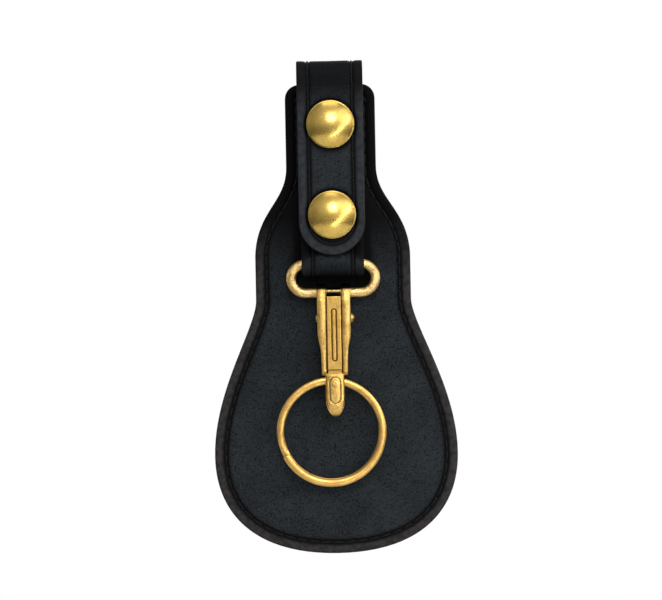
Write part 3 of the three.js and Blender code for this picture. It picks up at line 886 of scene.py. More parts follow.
@dataclass(frozen=True)
class Groove:
    """The dent that a row of stitches pulls into leather."""

    inset: float = 3.5 * MM
    width: float = 0.55 * MM
    depth: float = 0.4 * MM

    def fall(self, gap: Array) -> Array:
        """How deep the dent is at distances from the edge, as a negative rise."""
        return -self.depth * bell(gap - self.inset, self.width)

    def tone(self, gap: Array) -> Array:
        """Painted shade in the dent: how black it is at distances from the edge, from 0 to 1."""
        return bell(gap - self.inset, 1.35 * self.width, 4)


# ---------------------------------------------------------------- stitches


@dataclass(frozen=True)
class StitchSizes:
    """One stitch and the distance to the next."""

    pitch: float = 3.8 * MM
    length: float = 3.1 * MM
    radius: float = 0.27 * MM
    rise: float = 0.3 * MM
    dip: float = 0.42 * MM
    slant: float = 0.07
    seed: int = 5


class StitchTree:
    """The Geometry Nodes tree that lays stitches along an edge path."""

    RESOLUTION = 7  # steps along a stitch, and points round its thread

    def __init__(self) -> None:
        """Builds the tree."""
        self.tree = bpy.data.node_groups.new("stitches_on_path", "GeometryNodeTree")
        self.sockets: dict[str, str] = {}
        self._interface()
        self._nodes()

    def _interface(self) -> None:
        """Names the tree's inputs and its output."""
        face = self.tree.interface
        face.new_socket("Geometry", in_out="INPUT", socket_type="NodeSocketGeometry")
        for name in ("Pitch", "Length", "Radius", "Rise", "Dip", "Slant"):
            face.new_socket(name, in_out="INPUT", socket_type="NodeSocketFloat")
        face.new_socket("Seed", in_out="INPUT", socket_type="NodeSocketInt")
        face.new_socket("Material", in_out="INPUT", socket_type="NodeSocketMaterial")
        face.new_socket("Geometry", in_out="OUTPUT", socket_type="NodeSocketGeometry")
        for item in face.items_tree:
            if item.in_out == "INPUT":
                self.sockets[item.name] = item.identifier

    def _nodes(self) -> None:
        """Fills the tree: one twisted stitch, copied to evenly spaced points of the path."""
        nodes = Nodes(self.tree)
        given = nodes.add("NodeGroupInput").outputs

        def first(kind: str, inputs: dict | None = None, **settings: object) -> Socket:
            """Adds a node and returns its first output."""
            return nodes.add(kind, inputs, **settings).outputs[0]

        half = nodes.math("MULTIPLY", given["Length"], 0.5)
        down = nodes.math("MULTIPLY", given["Dip"], -1.0)
        start = first("ShaderNodeCombineXYZ", {0: nodes.math("MULTIPLY", half, -1.0), 2: down})
        top = first("ShaderNodeCombineXYZ", {2: nodes.math("ADD", given["Rise"], given["Dip"])})
        end = first("ShaderNodeCombineXYZ", {0: half, 2: down})
        thread = first("GeometryNodeCurveQuadraticBezier",
                       {"Resolution": self.RESOLUTION, "Start": start, "Middle": top, "End": end})
        ring = first("GeometryNodeCurvePrimitiveCircle",
                     {"Resolution": self.RESOLUTION, "Radius": given["Radius"]})
        share = nodes.add("GeometryNodeSplineParameter").outputs["Factor"]
        thread, ring = (
            first("GeometryNodeStoreNamedAttribute", {"Geometry": curve, "Name": name, "Value": share},
                  data_type="FLOAT")
            for curve, name in ((thread, "thread_along"), (ring, "thread_around")))
        stitch = first("GeometryNodeCurveToMesh",
                       {"Curve": thread, "Profile Curve": ring, "Fill Caps": True})

        path = first("GeometryNodeMeshToCurve", {"Mesh": given["Geometry"]})
        run = first("GeometryNodeCurveLength", {"Curve": path})
        number = nodes.math("ROUND", nodes.math("DIVIDE", run, given["Pitch"]))
        path = first("GeometryNodeResampleCurve", {"Curve": path, "Count": number}, mode="COUNT")
        heading = first("GeometryNodeInputTangent")
        up = first("GeometryNodeInputNamedAttribute", {"Name": "up"}, data_type="FLOAT_VECTOR")
        turn = first("FunctionNodeAxesToRotation", {"Primary Axis": up, "Secondary Axis": heading},
                     primary_axis="Z", secondary_axis="X")
        low = nodes.math("MULTIPLY", given["Slant"], -1.0)
        slant = nodes.add("FunctionNodeRandomValue", {2: low, 3: given["Slant"], "Seed": given["Seed"]},
                          data_type="FLOAT").outputs[1]
        spin = first("FunctionNodeEulerToRotation", {0: first("ShaderNodeCombineXYZ", {2: slant})})
        turn = first("FunctionNodeRotateRotation", {"Rotation": turn, "Rotate By": spin},
                     rotation_space="LOCAL")
        laid = first("GeometryNodeInstanceOnPoints",
                     {"Points": path, "Instance": stitch, "Rotation": turn})
        real = first("GeometryNodeRealizeInstances", {"Geometry": laid})
        dressed = first("GeometryNodeSetMaterial", {"Geometry": real, "Material": given["Material"]})
        nodes.add("NodeGroupOutput", {"Geometry": dressed})

    def sew(self, name: str, paths: Sequence[tuple[Array, Array, bool]], sizes: StitchSizes,
            material: bpy.types.Material) -> bpy.types.Object:
        """Sews stitches along one or more paths and returns them as one plain mesh.

        Args:
            name: The piece's name.
            paths: Each path's points, its outward directions, and whether it closes.
            sizes: The stitch's sizes.
            material: The thread's material.

        Returns:
            The finished stitches.
        """
        points: list[Array] = []
        ups: list[Array] = []
        edges: list[tuple[int, int]] = []
        for line, up, closed in paths:
            first = sum(len(p) for p in points)
            edges += [(first + i, first + i + 1) for i in range(len(line) - 1)]
            if closed:
                edges.append((first + len(line) - 1, first))
            points.append(line)
            ups.append(up)
        mesh = bpy.data.meshes.new(name)
        mesh.from_pydata(np.vstack(points).tolist(), edges, [])
        layer = mesh.attributes.new("up", "FLOAT_VECTOR", "POINT")
        layer.data.foreach_set("vector", np.vstack(ups).astype(np.float32).ravel())
        piece = linked(name, mesh)
        modifier = piece.modifiers.new("stitches", "NODES")
        modifier.node_group = self.tree
        for key, value in asdict(sizes).items():
            modifier[self.sockets[key.capitalize()]] = value
        modifier[self.sockets["Material"]] = material
        apply_modifiers(piece)
        piece.data.shade_smooth()
        return piece


# ---------------------------------------------------------------- flap


@dataclass
class Flap:
    """The pear-shaped pad: two stitched plies behind the hardware."""

    wardrobe: Wardrobe
    stitcher: StitchTree
    neck_half: float = 14.2 * MM
    neck_corner: float = 4.4 * MM
    neck_length: float = 26.0 * MM
    shoulder_half: float = 24.5 * MM
    shoulder_drop: float = 53.6 * MM
    waist_drop: float = 68.6 * MM
    belly_drop: float = 116.9 * MM
    bottom_handle: float = 26.3 * MM
    belly_handle_down: float = 18.3 * MM
    belly_handle_up: float = 20.3 * MM
    waist_handle: float = 9.3 * MM
    waist_lean: float = 1.0 * MM
    shoulder_handle: float = 14.2 * MM
    shoulder_lean: float = 0.8 * MM
    neck_handle: float = 10.8 * MM
    groove: Groove = Groove(width=0.85 * MM, depth=0.55 * MM)
    stitch: StitchSizes = StitchSizes(radius=0.36 * MM, length=3.3 * MM)
    stitch_depth: float = 0.02 * MM
    front_rim: float = 0.95 * MM
    back_rim: float = 0.7 * MM
    point_spacing: float = 1.3 * MM
    waves: Waves = Waves(38 * MM, 0.16 * MM, 3)
    field_sink: float = 0.12 * MM
    field_reach: float = 6 * MM
    rim_reach: float = 4 * MM
    head_room: float = 0.25 * MM
    head_sink: float = 0.78 * MM
    ring_steps: tuple[float, ...] = (-0.25 * MM, 0.0, 0.06 * MM, 0.4 * MM)
    # Painted shade on the front: a black neck beside the strap, fading downwards, and black behind the
    # dee.
    neck_black: float = 8 * MM
    neck_fade: float = 20 * MM
    dee_fade: float = 3 * MM
    body: str = "holder"

    def outline(self) -> Array:
        """The outline seen from the front, anticlockwise from the bottom.

        Returns:
            Its points, as X and Z.
        """
        low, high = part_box("flap_front")
        belly = high[0]
        top = high[2]
        bottom = low[2]
        belly_z = top - self.belly_drop
        waist_z = top - self.waist_drop
        shoulder_z = top - self.shoulder_drop
        neck_z = top - self.neck_length
        waist, neck, corner = self.shoulder_half, self.neck_half, self.neck_corner
        half = np.vstack([
            bezier((0, bottom), (self.bottom_handle, bottom),
                   (belly, belly_z - self.belly_handle_down), (belly, belly_z)),
            bezier((belly, belly_z), (belly, belly_z + self.belly_handle_up),
                   (waist + self.waist_lean, waist_z - self.waist_handle), (waist, waist_z))[1:],
            bezier((waist, shoulder_z), (waist - self.shoulder_lean, shoulder_z + self.shoulder_handle),
                   (neck, neck_z - self.neck_handle), (neck, neck_z)),
            arc((neck - corner, top - corner), corner, 0, 90, 9),
            [(0, top)],
        ])
        left = half[1:-1][::-1] * (-1, 1)
        return evened(np.vstack([half, left]), 0.9 * MM)

    def seam_path(self, facing: float, level: float) -> tuple[Array, Array, bool]:
        """The stitches' line on one face of the flap.

        Args:
            facing: -1 for the front, 1 for the back.
            level: The Y that the thread's middle lies at.

        Returns:
            Points, outward directions and True, because it closes.
        """
        line = standing(evened(inward(self.outline(), self.groove.inset), 0.6 * MM), level)
        return line, np.tile((0.0, facing, 0.0), (len(line), 1)), True

    def front_relief(self, at: Flat) -> Array:
        """Seam groove, slightly sunk field and slight waves on the front.

        Args:
            at: Flat places, X and Z.

        Returns:
            The rise at each place.
        """
        field_fall = -self.field_sink * ramp(at.gap - self.groove.inset, self.field_reach)
        from_rim = ramp(at.gap, self.rim_reach)
        waves = self.waves.rise(at.u, at.v) * from_rim
        return self.groove.fall(at.gap) + field_fall + waves - self.waves.height * from_rim

    def back_relief(self, at: Flat) -> Array:
        """Seam groove and the posts' sunk seats on the back.

        Args:
            at: Flat places, X and Z.

        Returns:
            The rise at each place.
        """
        rise = self.groove.fall(at.gap) * 0.8
        _, (_, back, _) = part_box("flap_back")
        _, (_, head, _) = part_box("snap_post_upper")
        for u, v, radii in self.post_rings():
            seat = np.hypot(at.u - u, at.v - v) < radii[1] + 0.01 * MM
            rise = np.where(seat, -(back - head + self.head_sink), rise)
        return rise

    def post_rings(self) -> Circles:
        """Circles of points round each post head, where the back ply is cut out.

        Returns:
            Each head's X and Z with its circles' radii.
        """
        result = []
        for node in ("snap_post_upper", "snap_post_lower"):
            radius = half_width(node) + self.head_room
            head = middle(node)
            result.append((head.x, head.z, tuple(radius + step for step in self.ring_steps)))
        return tuple(result)

    def front_dye(self, at: Flat) -> Array:
        """Painted shade: a black seam groove, a black neck beside the strap, and black on the flap behind
        the dee.

        Args:
            at: Flat places, X and Z.

        Returns:
            A share from 0 to 1 at each place.
        """
        low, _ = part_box("strap_tab_outer")
        # Painted shade on the neck beside the strap.
        neck = ramp(at.v - low[2] + self.neck_black, self.neck_fade)
        dee_low, dee_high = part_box("dee_loop")
        # Painted shadow on the flap behind the dee.
        dee_shadow = ramp(dee_high[0] - np.abs(at.u), self.dee_fade)
        dee_shadow *= ramp(at.v - dee_low[2], self.dee_fade)
        return np.maximum(np.maximum(self.groove.tone(at.gap), neck), dee_shadow)

    def back_dye(self, at: Flat) -> Array:
        """Painted shade in the seam groove on the back, from 0 to 1 at each place."""
        return 0.7 * self.groove.tone(at.gap)

    def build(self) -> None:
        """Builds both plies and both rows of stitches."""
        outline = self.outline()
        for node, facing in (("flap_front", -1.0), ("flap_back", 1.0)):
            low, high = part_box(node)
            base = high[1] if facing < 0 else low[1]
            thick = high[1] - low[1]

            def place(u: Array, v: Array, h: Array, base: float = base,
                      facing: float = facing) -> Array:
                """Puts a flat place and height in the frame."""
                return np.stack([u, base + facing * h, v], axis=1)

            front = facing < 0
            ply = LeatherPly(
                name=f"{node}_leather", outline=outline, bottom=0.0, top=thick, place=place,
                step=(self.point_spacing, self.point_spacing),
                top_rim=self.front_rim if front else self.back_rim,
                groove_inset=self.groove.inset, groove_width=self.groove.width,
                top_relief=self.front_relief if front else self.back_relief,
                dye=self.front_dye if front else self.back_dye,
                rings=() if front else self.post_rings())
            piece = ply.build()
            self.wardrobe.dress(piece, Slot.FLAP if front else Slot.BACKING, self.body, node)
            level = (low[1] if front else high[1]) - facing * (self.groove.depth + self.stitch_depth)
            seam = self.stitcher.sew(f"{node}_stitches", [self.seam_path(facing, level)], self.stitch,
                                     self.wardrobe.material(Slot.THREAD))
            self.wardrobe.dress(seam, Slot.THREAD, self.body, node.replace("flap", "flap_seam"))


# ---------------------------------------------------------------- strap


class BentLine:
    """A line in Y and Z that a flat strap is bent along, with the direction its outside faces."""

    def __init__(self, points: Array, normals: Array) -> None:
        """Keeps the line with its running length.

        Args:
            points: Y and Z, one row each.
            normals: Unit directions that the outside faces, one row each.
        """
        self.points = points
        self.normals = normals
        self.run = running_length(points)

    @property
    def length(self) -> float:
        """The line's whole length."""
        return float(self.run[-1])

    def place(self, u: Array, v: Array, h: Array) -> Array:
        """Puts a flat place and height in the frame.

        Args:
            u: Place across the strap.
            v: Place along the line, from its start.
            h: Height over the line.

        Returns:
            The frame's X, Y and Z, one row each.
        """
        at = [np.interp(v, self.run, self.points[:, i]) for i in (0, 1)]
        out = [np.interp(v, self.run, self.normals[:, i]) for i in (0, 1)]
        size = np.hypot(*out)
        return np.stack([u, at[0] + h * out[0] / size, at[1] + h * out[1] / size], axis=1)

    def facing(self, v: Array) -> Array:
        """The outward direction at a place along the line.

        Args:
            v: Place along the line.

        Returns:
            Unit directions, one row each.
        """
        zero = np.zeros_like(v)
        out = self.place(zero, v, np.ones_like(v)) - self.place(zero, v, zero)
        return out / np.linalg.norm(out, axis=1)[:, None]


@dataclass
class Strap:
    """The double-layer strap: the loop over the belt, and the carrier round the dee."""

    wardrobe: Wardrobe
    stitcher: StitchTree
    closing: float = 7.0 * MM
    running: float = 0.1 * MM
    groove: Groove = Groove(width=0.72 * MM, depth=0.45 * MM)
    stitch: StitchSizes = StitchSizes(pitch=3.7 * MM, radius=0.33 * MM, slant=0.1, seed=9)
    stitch_depth: float = 0.04 * MM
    lining_stitch_height: float = 0.24 * MM
    seam_past_fold: float = 1.5 * MM
    narrowing: float = 6 * MM
    tab_waves: Waves = Waves(16 * MM, 0.08 * MM, 11)
    carrier_waves: Waves = Waves(12 * MM, 0.05 * MM, 17)
    press_depth: float = 0.42 * MM
    pucker_height: float = 0.05 * MM
    pucker_count: int = 26
    ring_steps: tuple[float, ...] = (-0.9, -0.45, -0.1, 0.2, 0.5, 0.85, 1.3, 1.8, 2.4)
    outer_rims: tuple[float, float] = (0.5 * MM, 0.12 * MM)
    lining_rims: tuple[float, float] = (0.12 * MM, 0.25 * MM)

    def __post_init__(self) -> None:
        """Reads the strap's sizes from the frame."""
        tab_low, tab_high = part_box("strap_tab_outer")
        lining_low, lining_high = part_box("strap_tab_lining")
        _, fold_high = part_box("strap_fold_outer")
        _, seam_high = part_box("strap_carrier_seam_left")
        dee_low, dee_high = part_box("dee_loop")
        self.half = tab_high[0]
        self.carrier_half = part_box("strap_carrier_outer")[1][0]
        self.slot_half = -lining_high[1]
        self.lining_top = lining_high[1] - lining_low[1]
        self.outer_bottom = -tab_high[1] - self.slot_half
        self.outer_top = -tab_low[1] - self.slot_half
        self.tab_end = tab_low[2]
        self.fold_z = fold_high[2] - fold_high[1]
        wire = dee_high[1] - dee_low[1]
        self.dee_y = (dee_high[1] + dee_low[1]) / 2
        self.dee_z = dee_high[2] - wire / 2
        self.turn = self.slot_half - self.dee_y
        self.carrier_top = seam_high[2]
        self.tab_length = self.fold_z - self.tab_end
        self.caps: Circles = (self.cap_ring("snap_cap_upper"), self.cap_ring("snap_cap_lower"))

    def cap_ring(self, node: str) -> tuple[float, float, tuple[float, ...]]:
        """A cap's place on the flat loop, with its radius and those of the rings round it.

        Args:
            node: The cap's node.

        Returns:
            Place across, place along, and the radii, the cap's own first.
        """
        cap = middle(node)
        radius = half_width(node)
        radii = (radius, *(radius + step * MM for step in self.ring_steps))
        return cap.x, cap.z - self.tab_end, radii

    def loop_line(self) -> BentLine:
        """The inner face from the tab's end, over the belt, and down the back to the dee.

        Returns:
            The line.
        """
        front = [(-self.slot_half, z) for z in np.linspace(self.tab_end, self.fold_z, 60)]
        over = arc((0, self.fold_z), self.slot_half, 180, 0, 40)
        back = [(self.slot_half, z) for z in np.linspace(self.fold_z, self.dee_z, 60)]
        points = np.vstack([front, over[1:-1], back])
        normals = np.vstack([np.tile((-1.0, 0.0), (60, 1)),
                             (over[1:-1] - (0, self.fold_z)) / self.slot_half,
                             np.tile((1.0, 0.0), (60, 1))])
        return BentLine(points, normals)

    def carrier_line(self) -> BentLine:
        """The inner face round the dee and up inside the loop to the carrier's end.

        Returns:
            The line.
        """
        turn = arc((self.dee_y, self.dee_z), self.turn, 0, -180, 40)
        turn_out = (turn - (self.dee_y, self.dee_z)) / self.turn
        share = np.linspace(0, 1, 30)[1:]
        shift = self.slot_half - self.running - (self.dee_y - self.turn)
        closing = np.stack([self.dee_y - self.turn + shift * (1 - np.cos(np.pi * share)) / 2,
                            self.dee_z + self.closing * share], axis=1)
        slope = shift * np.pi * np.sin(np.pi * share) / 2 / self.closing
        closing_out = np.stack([-np.ones_like(slope), slope], axis=1)
        closing_out /= np.linalg.norm(closing_out, axis=1)[:, None]
        rise = np.linspace(closing[-1][1], self.carrier_top, 60)[1:]
        straight = np.stack([np.full_like(rise, closing[-1][0]), rise], axis=1)
        points = np.vstack([turn, closing, straight])
        normals = np.vstack([turn_out, closing_out, np.tile((-1.0, 0.0), (len(rise), 1))])
        return BentLine(points, normals)

    def loop_outline(self, line: BentLine) -> Array:
        """The flat pattern of the loop: a round tab end, and a square end behind.

        Args:
            line: The line that it is bent along.

        Returns:
            Its points, anticlockwise.
        """
        tip = arc((0, self.half), self.half, 180, 360, 44)
        narrow = self.carrier_half
        back_start = line.length - (self.fold_z - self.dee_z)
        right = [(self.half, back_start), (narrow, back_start + self.narrowing),
                 (narrow, line.length)]
        left = [(-x, v) for x, v in reversed(right)]
        corners = np.vstack([tip, right, left])
        return evened(corners, 0.7 * MM)

    def press(self, at: Flat) -> Array:
        """The dent and the small puckers that each cap presses into the tab.

        Args:
            at: Flat places on the loop.

        Returns:
            The rise at each place.
        """
        total = np.zeros_like(at.u)
        for u, v, (radius, *_) in self.caps:
            far = np.hypot(at.u - u, at.v - v)
            turn = np.arctan2(at.v - v, at.u - u)
            ring = bell(far - radius - 0.15 * MM, 0.75 * MM)
            folds = 0.5 + 0.5 * np.sin(self.pucker_count * turn + 2.3 * np.sin(3 * turn))
            swell = bell(far - radius - 1.5 * MM, 0.9 * MM)
            total += (-self.press_depth * ring * (0.8 + 0.2 * folds)
                      + self.pucker_height * swell * folds)
            total += np.where(far < radius - 0.2 * MM, -0.1 * MM, 0.0)
        return total

    def loop_dye(self, at: Flat) -> Array:
        """Painted shade: black in the seam groove and in rings round the caps, wider below them, and a
        darker fold.

        Args:
            at: Flat places on the loop.

        Returns:
            A share from 0 to 1 at each place.
        """
        tone = self.groove.tone(at.gap) * ramp(self.tab_length + 14 * MM - at.v, 3 * MM)
        tone = np.maximum(tone, 0.9 * ramp(at.v - self.tab_length + 12 * MM, 9 * MM))
        # Painted shadow round each cap, wider below it.
        for u, v, (radius, *_) in self.caps:
            far = np.hypot(at.u - u, at.v - v) - radius
            lower = ramp(v - at.v, 8 * MM)
            tone = np.maximum(tone, bell(np.maximum(far - 0.55 * MM, 0), (0.4 + 0.7 * lower) * MM))
        return tone

    def carrier_dye(self, at: Flat) -> Array:
        """Painted shade: black seam grooves, a dark turn round the dee, and black under the tab's end.

        Args:
            at: Flat places on the carrier.

        Returns:
            A share from 0 to 1 at each place.
        """
        seam = self.groove.tone(self.carrier_half - np.abs(at.u))
        # Painted shade on the turn round the dee.
        turn = 0.75 * ramp(7.5 * MM - at.v, 3 * MM)
        # Painted shadow of the tab's end on the carrier.
        cover = self.carrier_line().length - (self.carrier_top - self.tab_end)
        under = ramp(at.v - cover + 2.6 * MM + 0.4 * (np.abs(at.u) - 4 * MM), 1.6 * MM)
        return np.maximum(np.maximum(seam, turn), 0.95 * under)

    def loop_relief(self, at: Flat) -> Array:
        """Seam grooves, pressed rings and waves on the loop's outside.

        Args:
            at: Flat places on the loop.

        Returns:
            The rise at each place.
        """
        tab = ramp(self.tab_length + 12 * MM - at.v, 4 * MM)
        waves = (self.tab_waves.rise(at.u, at.v) - self.tab_waves.height) * ramp(at.gap, 3 * MM)
        return self.groove.fall(at.gap) * tab + self.press(at) + waves * tab

    def carrier_relief(self, at: Flat) -> Array:
        """Seam grooves and waves on the carrier's outside.

        Args:
            at: Flat places on the carrier.

        Returns:
            The rise at each place.
        """
        groove = self.groove.fall(self.carrier_half - np.abs(at.u))
        return groove - self.carrier_waves.height + self.carrier_waves.rise(at.u, at.v)

    def layer(self, name: str, line: BentLine, outline: Array, outer: bool, step: tuple[float, float],
              relief: Relief | None = None, dye: Relief | None = None,
              rings: Circles = ()) -> bpy.types.Object:
        """One layer of the strap, bent along a line.

        Args:
            name: The piece's name.
            line: The line that it follows.
            outline: Its flat pattern.
            outer: True for the grain layer, False for the lining.
            step: Spacing of its points across and along.
            relief: The outside's relief.
            dye: How black the outside is.
            rings: Circles of extra points.

        Returns:
            The layer's object.
        """
        bottom = self.outer_bottom if outer else 0.0
        top = self.outer_top if outer else self.lining_top
        top_rim, bottom_rim = (self.outer_rims if outer else self.lining_rims)
        return LeatherPly(name=name, outline=outline, bottom=bottom, top=top, place=line.place,
                          step=step, top_rim=top_rim, bottom_rim=bottom_rim,
                          groove_inset=self.groove.inset, groove_width=self.groove.width,
                          top_relief=relief, dye=dye, rings=rings).build()

    def build_loop(self) -> None:
        """Builds the loop over the belt: grain layer, lining and both faces' stitches."""
        line = self.loop_line()
        outline = self.loop_outline(line)
        rings = tuple((u, v, radii[1:]) for u, v, radii in self.caps)
        outer = self.layer("strap_loop_leather", line, outline, True, (0.75 * MM, 0.6 * MM),
                           self.loop_relief, self.loop_dye, rings)
        inner = self.layer("strap_loop_lining", line, outline, False, (1.1 * MM, 0.7 * MM))
        self.wardrobe.dress(outer, Slot.STRAP, "", "strap_tab_outer", "strap_fold_outer")
        self.wardrobe.dress(inner, Slot.LINING, "", "strap_tab_lining", "strap_fold_lining")
        seam = self.stitcher.sew("strap_loop_stitches", self.loop_seams(line), self.stitch,
                                 self.wardrobe.material(Slot.THREAD))
        self.wardrobe.dress(seam, Slot.THREAD, "", "strap_tab_seam")
        for piece in (outer, inner, seam):
            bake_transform(piece)

    def loop_seams(self, line: BentLine) -> list[tuple[Array, Array, bool]]:
        """The U of stitches on the loop's outside, and its part that shows on the tab's lining.

        Args:
            line: The line that the loop is bent along.

        Returns:
            Each path's points, its outward directions and False, because neither closes.
        """
        seam_end = self.tab_length + math.pi * self.slot_half + self.seam_past_fold
        side = self.half - self.groove.inset
        round_end = arc((0, self.half), side, 180, 360, 40)
        corners = np.vstack([[(-side, seam_end)], round_end, [(side, seam_end)]])
        u, v = evened(corners, 0.5 * MM, closed=False).T
        out = line.facing(v)
        height = self.outer_top - self.groove.depth - self.stitch_depth
        tab = v < self.tab_length
        inside = np.full(tab.sum(), self.lining_stitch_height)
        return [(line.place(u, v, np.full_like(u, height)), out, False),
                (line.place(u[tab], v[tab], inside), -out[tab], False)]

    def build_carrier(self) -> None:
        """Builds the carrier round the dee, with its two rows of stitches."""
        line = self.carrier_line()
        half = self.carrier_half
        corners = np.array([(-half, 0), (half, 0), (half, line.length), (-half, line.length)])
        outline = evened(corners, 0.6 * MM)
        outer = self.layer("strap_carrier_leather", line, outline, True, (0.8 * MM, 0.45 * MM),
                           self.carrier_relief, self.carrier_dye)
        inner = self.layer("strap_carrier_inside", line, outline, False, (1.2 * MM, 0.5 * MM))
        self.wardrobe.dress(outer, Slot.STRAP, "holder", "strap_carrier_outer")
        self.wardrobe.dress(inner, Slot.LINING, "holder", "strap_carrier_lining")
        side = half - self.groove.inset
        v = np.arange(3 * MM, line.length - 1 * MM, 0.4 * MM)
        height = np.full_like(v, self.outer_top - self.groove.depth - self.stitch_depth)
        paths = [(line.place(np.full_like(v, x), v, height), line.facing(v), False) for x in (-side, side)]
        seam = self.stitcher.sew("strap_carrier_stitches", paths, self.stitch,
                                 self.wardrobe.material(Slot.THREAD))
        self.wardrobe.dress(seam, Slot.THREAD, "holder",
                            "strap_carrier_seam_left", "strap_carrier_seam_right")

    def build(self) -> None:
        """Builds the whole strap."""
        self.build_loop()
        self.build_carrier()


# ---------------------------------------------------------------- turned and swept metal


def rounded(profile: Sequence[tuple[float, float]], radius: float) -> Array:
    """Rounds the inner corners of a profile.

    Args:
        profile: The profile's corners.
        radius: The wanted corner radius, limited by the sides next to it.

    Returns:
        The profile with short arcs at its corners.
    """
    points = np.array(profile, dtype=float)
    result = [points[0]]
    for before, corner, after in zip(points[:-2], points[1:-1], points[2:]):
        back = before - corner
        ahead = after - corner
        reach = min(radius, 0.45 * np.linalg.norm(back), 0.45 * np.linalg.norm(ahead))
        start = corner + back / np.linalg.norm(back) * reach
        end = corner + ahead / np.linalg.norm(ahead) * reach
        for share in np.linspace(0, 1, 4):
            result.append((1 - share) ** 2 * start + 2 * (1 - share) * share * corner
                          + share ** 2 * end)
    result.append(points[-1])
    return np.array(result)


def shade_by_facing(piece: bpy.types.Object, low: float = 0.12, gain: float = 0.6) -> None:
    """Stores painted shade for a plain piece as its wear value: front and back painted bright, its sides
    darker.

    Args:
        piece: The mesh object.
        low: The value on the sides, painted darker.
        gain: How much brighter the front and back are painted.
    """
    facing = np.abs(vertex_rows(piece, "normal")[:, 1])
    point_values(piece, "wear_and_shade", low + gain * facing ** 1.5)


def turned(name: str, profile: Array, centre: Vector, axis: str = "Y",
           count: int = 56) -> bpy.types.Object:
    """A closed body of revolution about an axis through a centre.

    Args:
        name: The piece's name.
        profile: Radius and place along the axis, from the axis to the axis or closed on itself.
        centre: A point on the axis. Places along it are measured from the frame's origin.
        axis: Y or X.
        count: How many steps round.

    Returns:
        The piece's object.
    """
    closes = bool(np.allclose(profile[0], profile[-1]))
    rows = profile[:-1] if closes else profile
    points: list[tuple[float, float, float]] = []
    rings: list[list[int]] = []
    for radius, level in rows:
        ring = []
        steps = 1 if radius < 1e-9 else count
        for i in range(steps):
            angle = math.tau * i / count
            a, b = radius * math.cos(angle), radius * math.sin(angle)
            ring.append(len(points))
            across = (centre.x + a, level) if axis == "Y" else (level, centre.y + a)
            points.append((*across, centre.z + b))
        rings.append(ring)
    faces: list[tuple[int, ...]] = []
    for low, high in zip(rings, rings[1:] + rings[:1] if closes else rings[1:]):
        for i in range(count):
            j = (i + 1) % count
            quad = (low[i % len(low)], low[j % len(low)], high[j % len(high)], high[i % len(high)])
            corners = tuple(dict.fromkeys(quad))
            if len(corners) > 2:
                faces.append(corners)
    piece = mesh_object(name, points, faces)
    face_out(piece)
    shade_by_facing(piece)
    return piece


def swept(name: str, line: Array, reference: Vector, section: Array,
          closed: bool) -> bpy.types.Object:
    """A closed wire: a section carried along a line.

    Args:
        name: The piece's name.
        line: The line's points, one row each.
        reference: A direction that the section's second axis stays close to.
        section: The section's points: across, and along the reference.
        closed: Whether the line runs back to its start.

    Returns:
        The piece's object.
    """
    ahead = np.roll(line, -1, axis=0) - np.roll(line, 1, axis=0)
    if not closed:
        ahead[0] = line[1] - line[0]
        ahead[-1] = line[-1] - line[-2]
    ahead /= np.linalg.norm(ahead, axis=1)[:, None]
    across = np.cross(np.array(reference), ahead)
    across /= np.linalg.norm(across, axis=1)[:, None]
    up = np.cross(ahead, across)
    count = len(section)
    points = np.vstack([place + section[:, :1] * a + section[:, 1:] * b
                        for place, a, b in zip(line, across, up)])
    faces: list[tuple[int, ...]] = []
    for i in range(len(line) if closed else len(line) - 1):
        k = (i + 1) % len(line)
        for j in range(count):
            m = (j + 1) % count
            faces.append((i * count + j, i * count + m, k * count + m, k * count + j))
    if not closed:
        faces.append(tuple(reversed(range(count))))
        faces.append(tuple(range((len(line) - 1) * count, len(line) * count)))
    piece = mesh_object(name, points, faces)
    face_out(piece)
    shade_by_facing(piece)
    return piece


def oval(width: float, height: float, count: int, power: float = 2.0) -> Array:
    """A rounded section.

    Args:
        width: Its size across.
        height: Its size along the reference.
        count: How many points.
        power: 2 for an ellipse, more for a squarer shape.

    Returns:
        The section's points, one row each.
    """
    angle = np.linspace(0, math.tau, count, endpoint=False)
    x = np.sign(np.cos(angle)) * np.abs(np.cos(angle)) ** (2 / power)
    y = np.sign(np.sin(angle)) * np.abs(np.sin(angle)) ** (2 / power)
    return np.stack([x * width / 2, y * height / 2], axis=1)


# ---------------------------------------------------------------- press studs


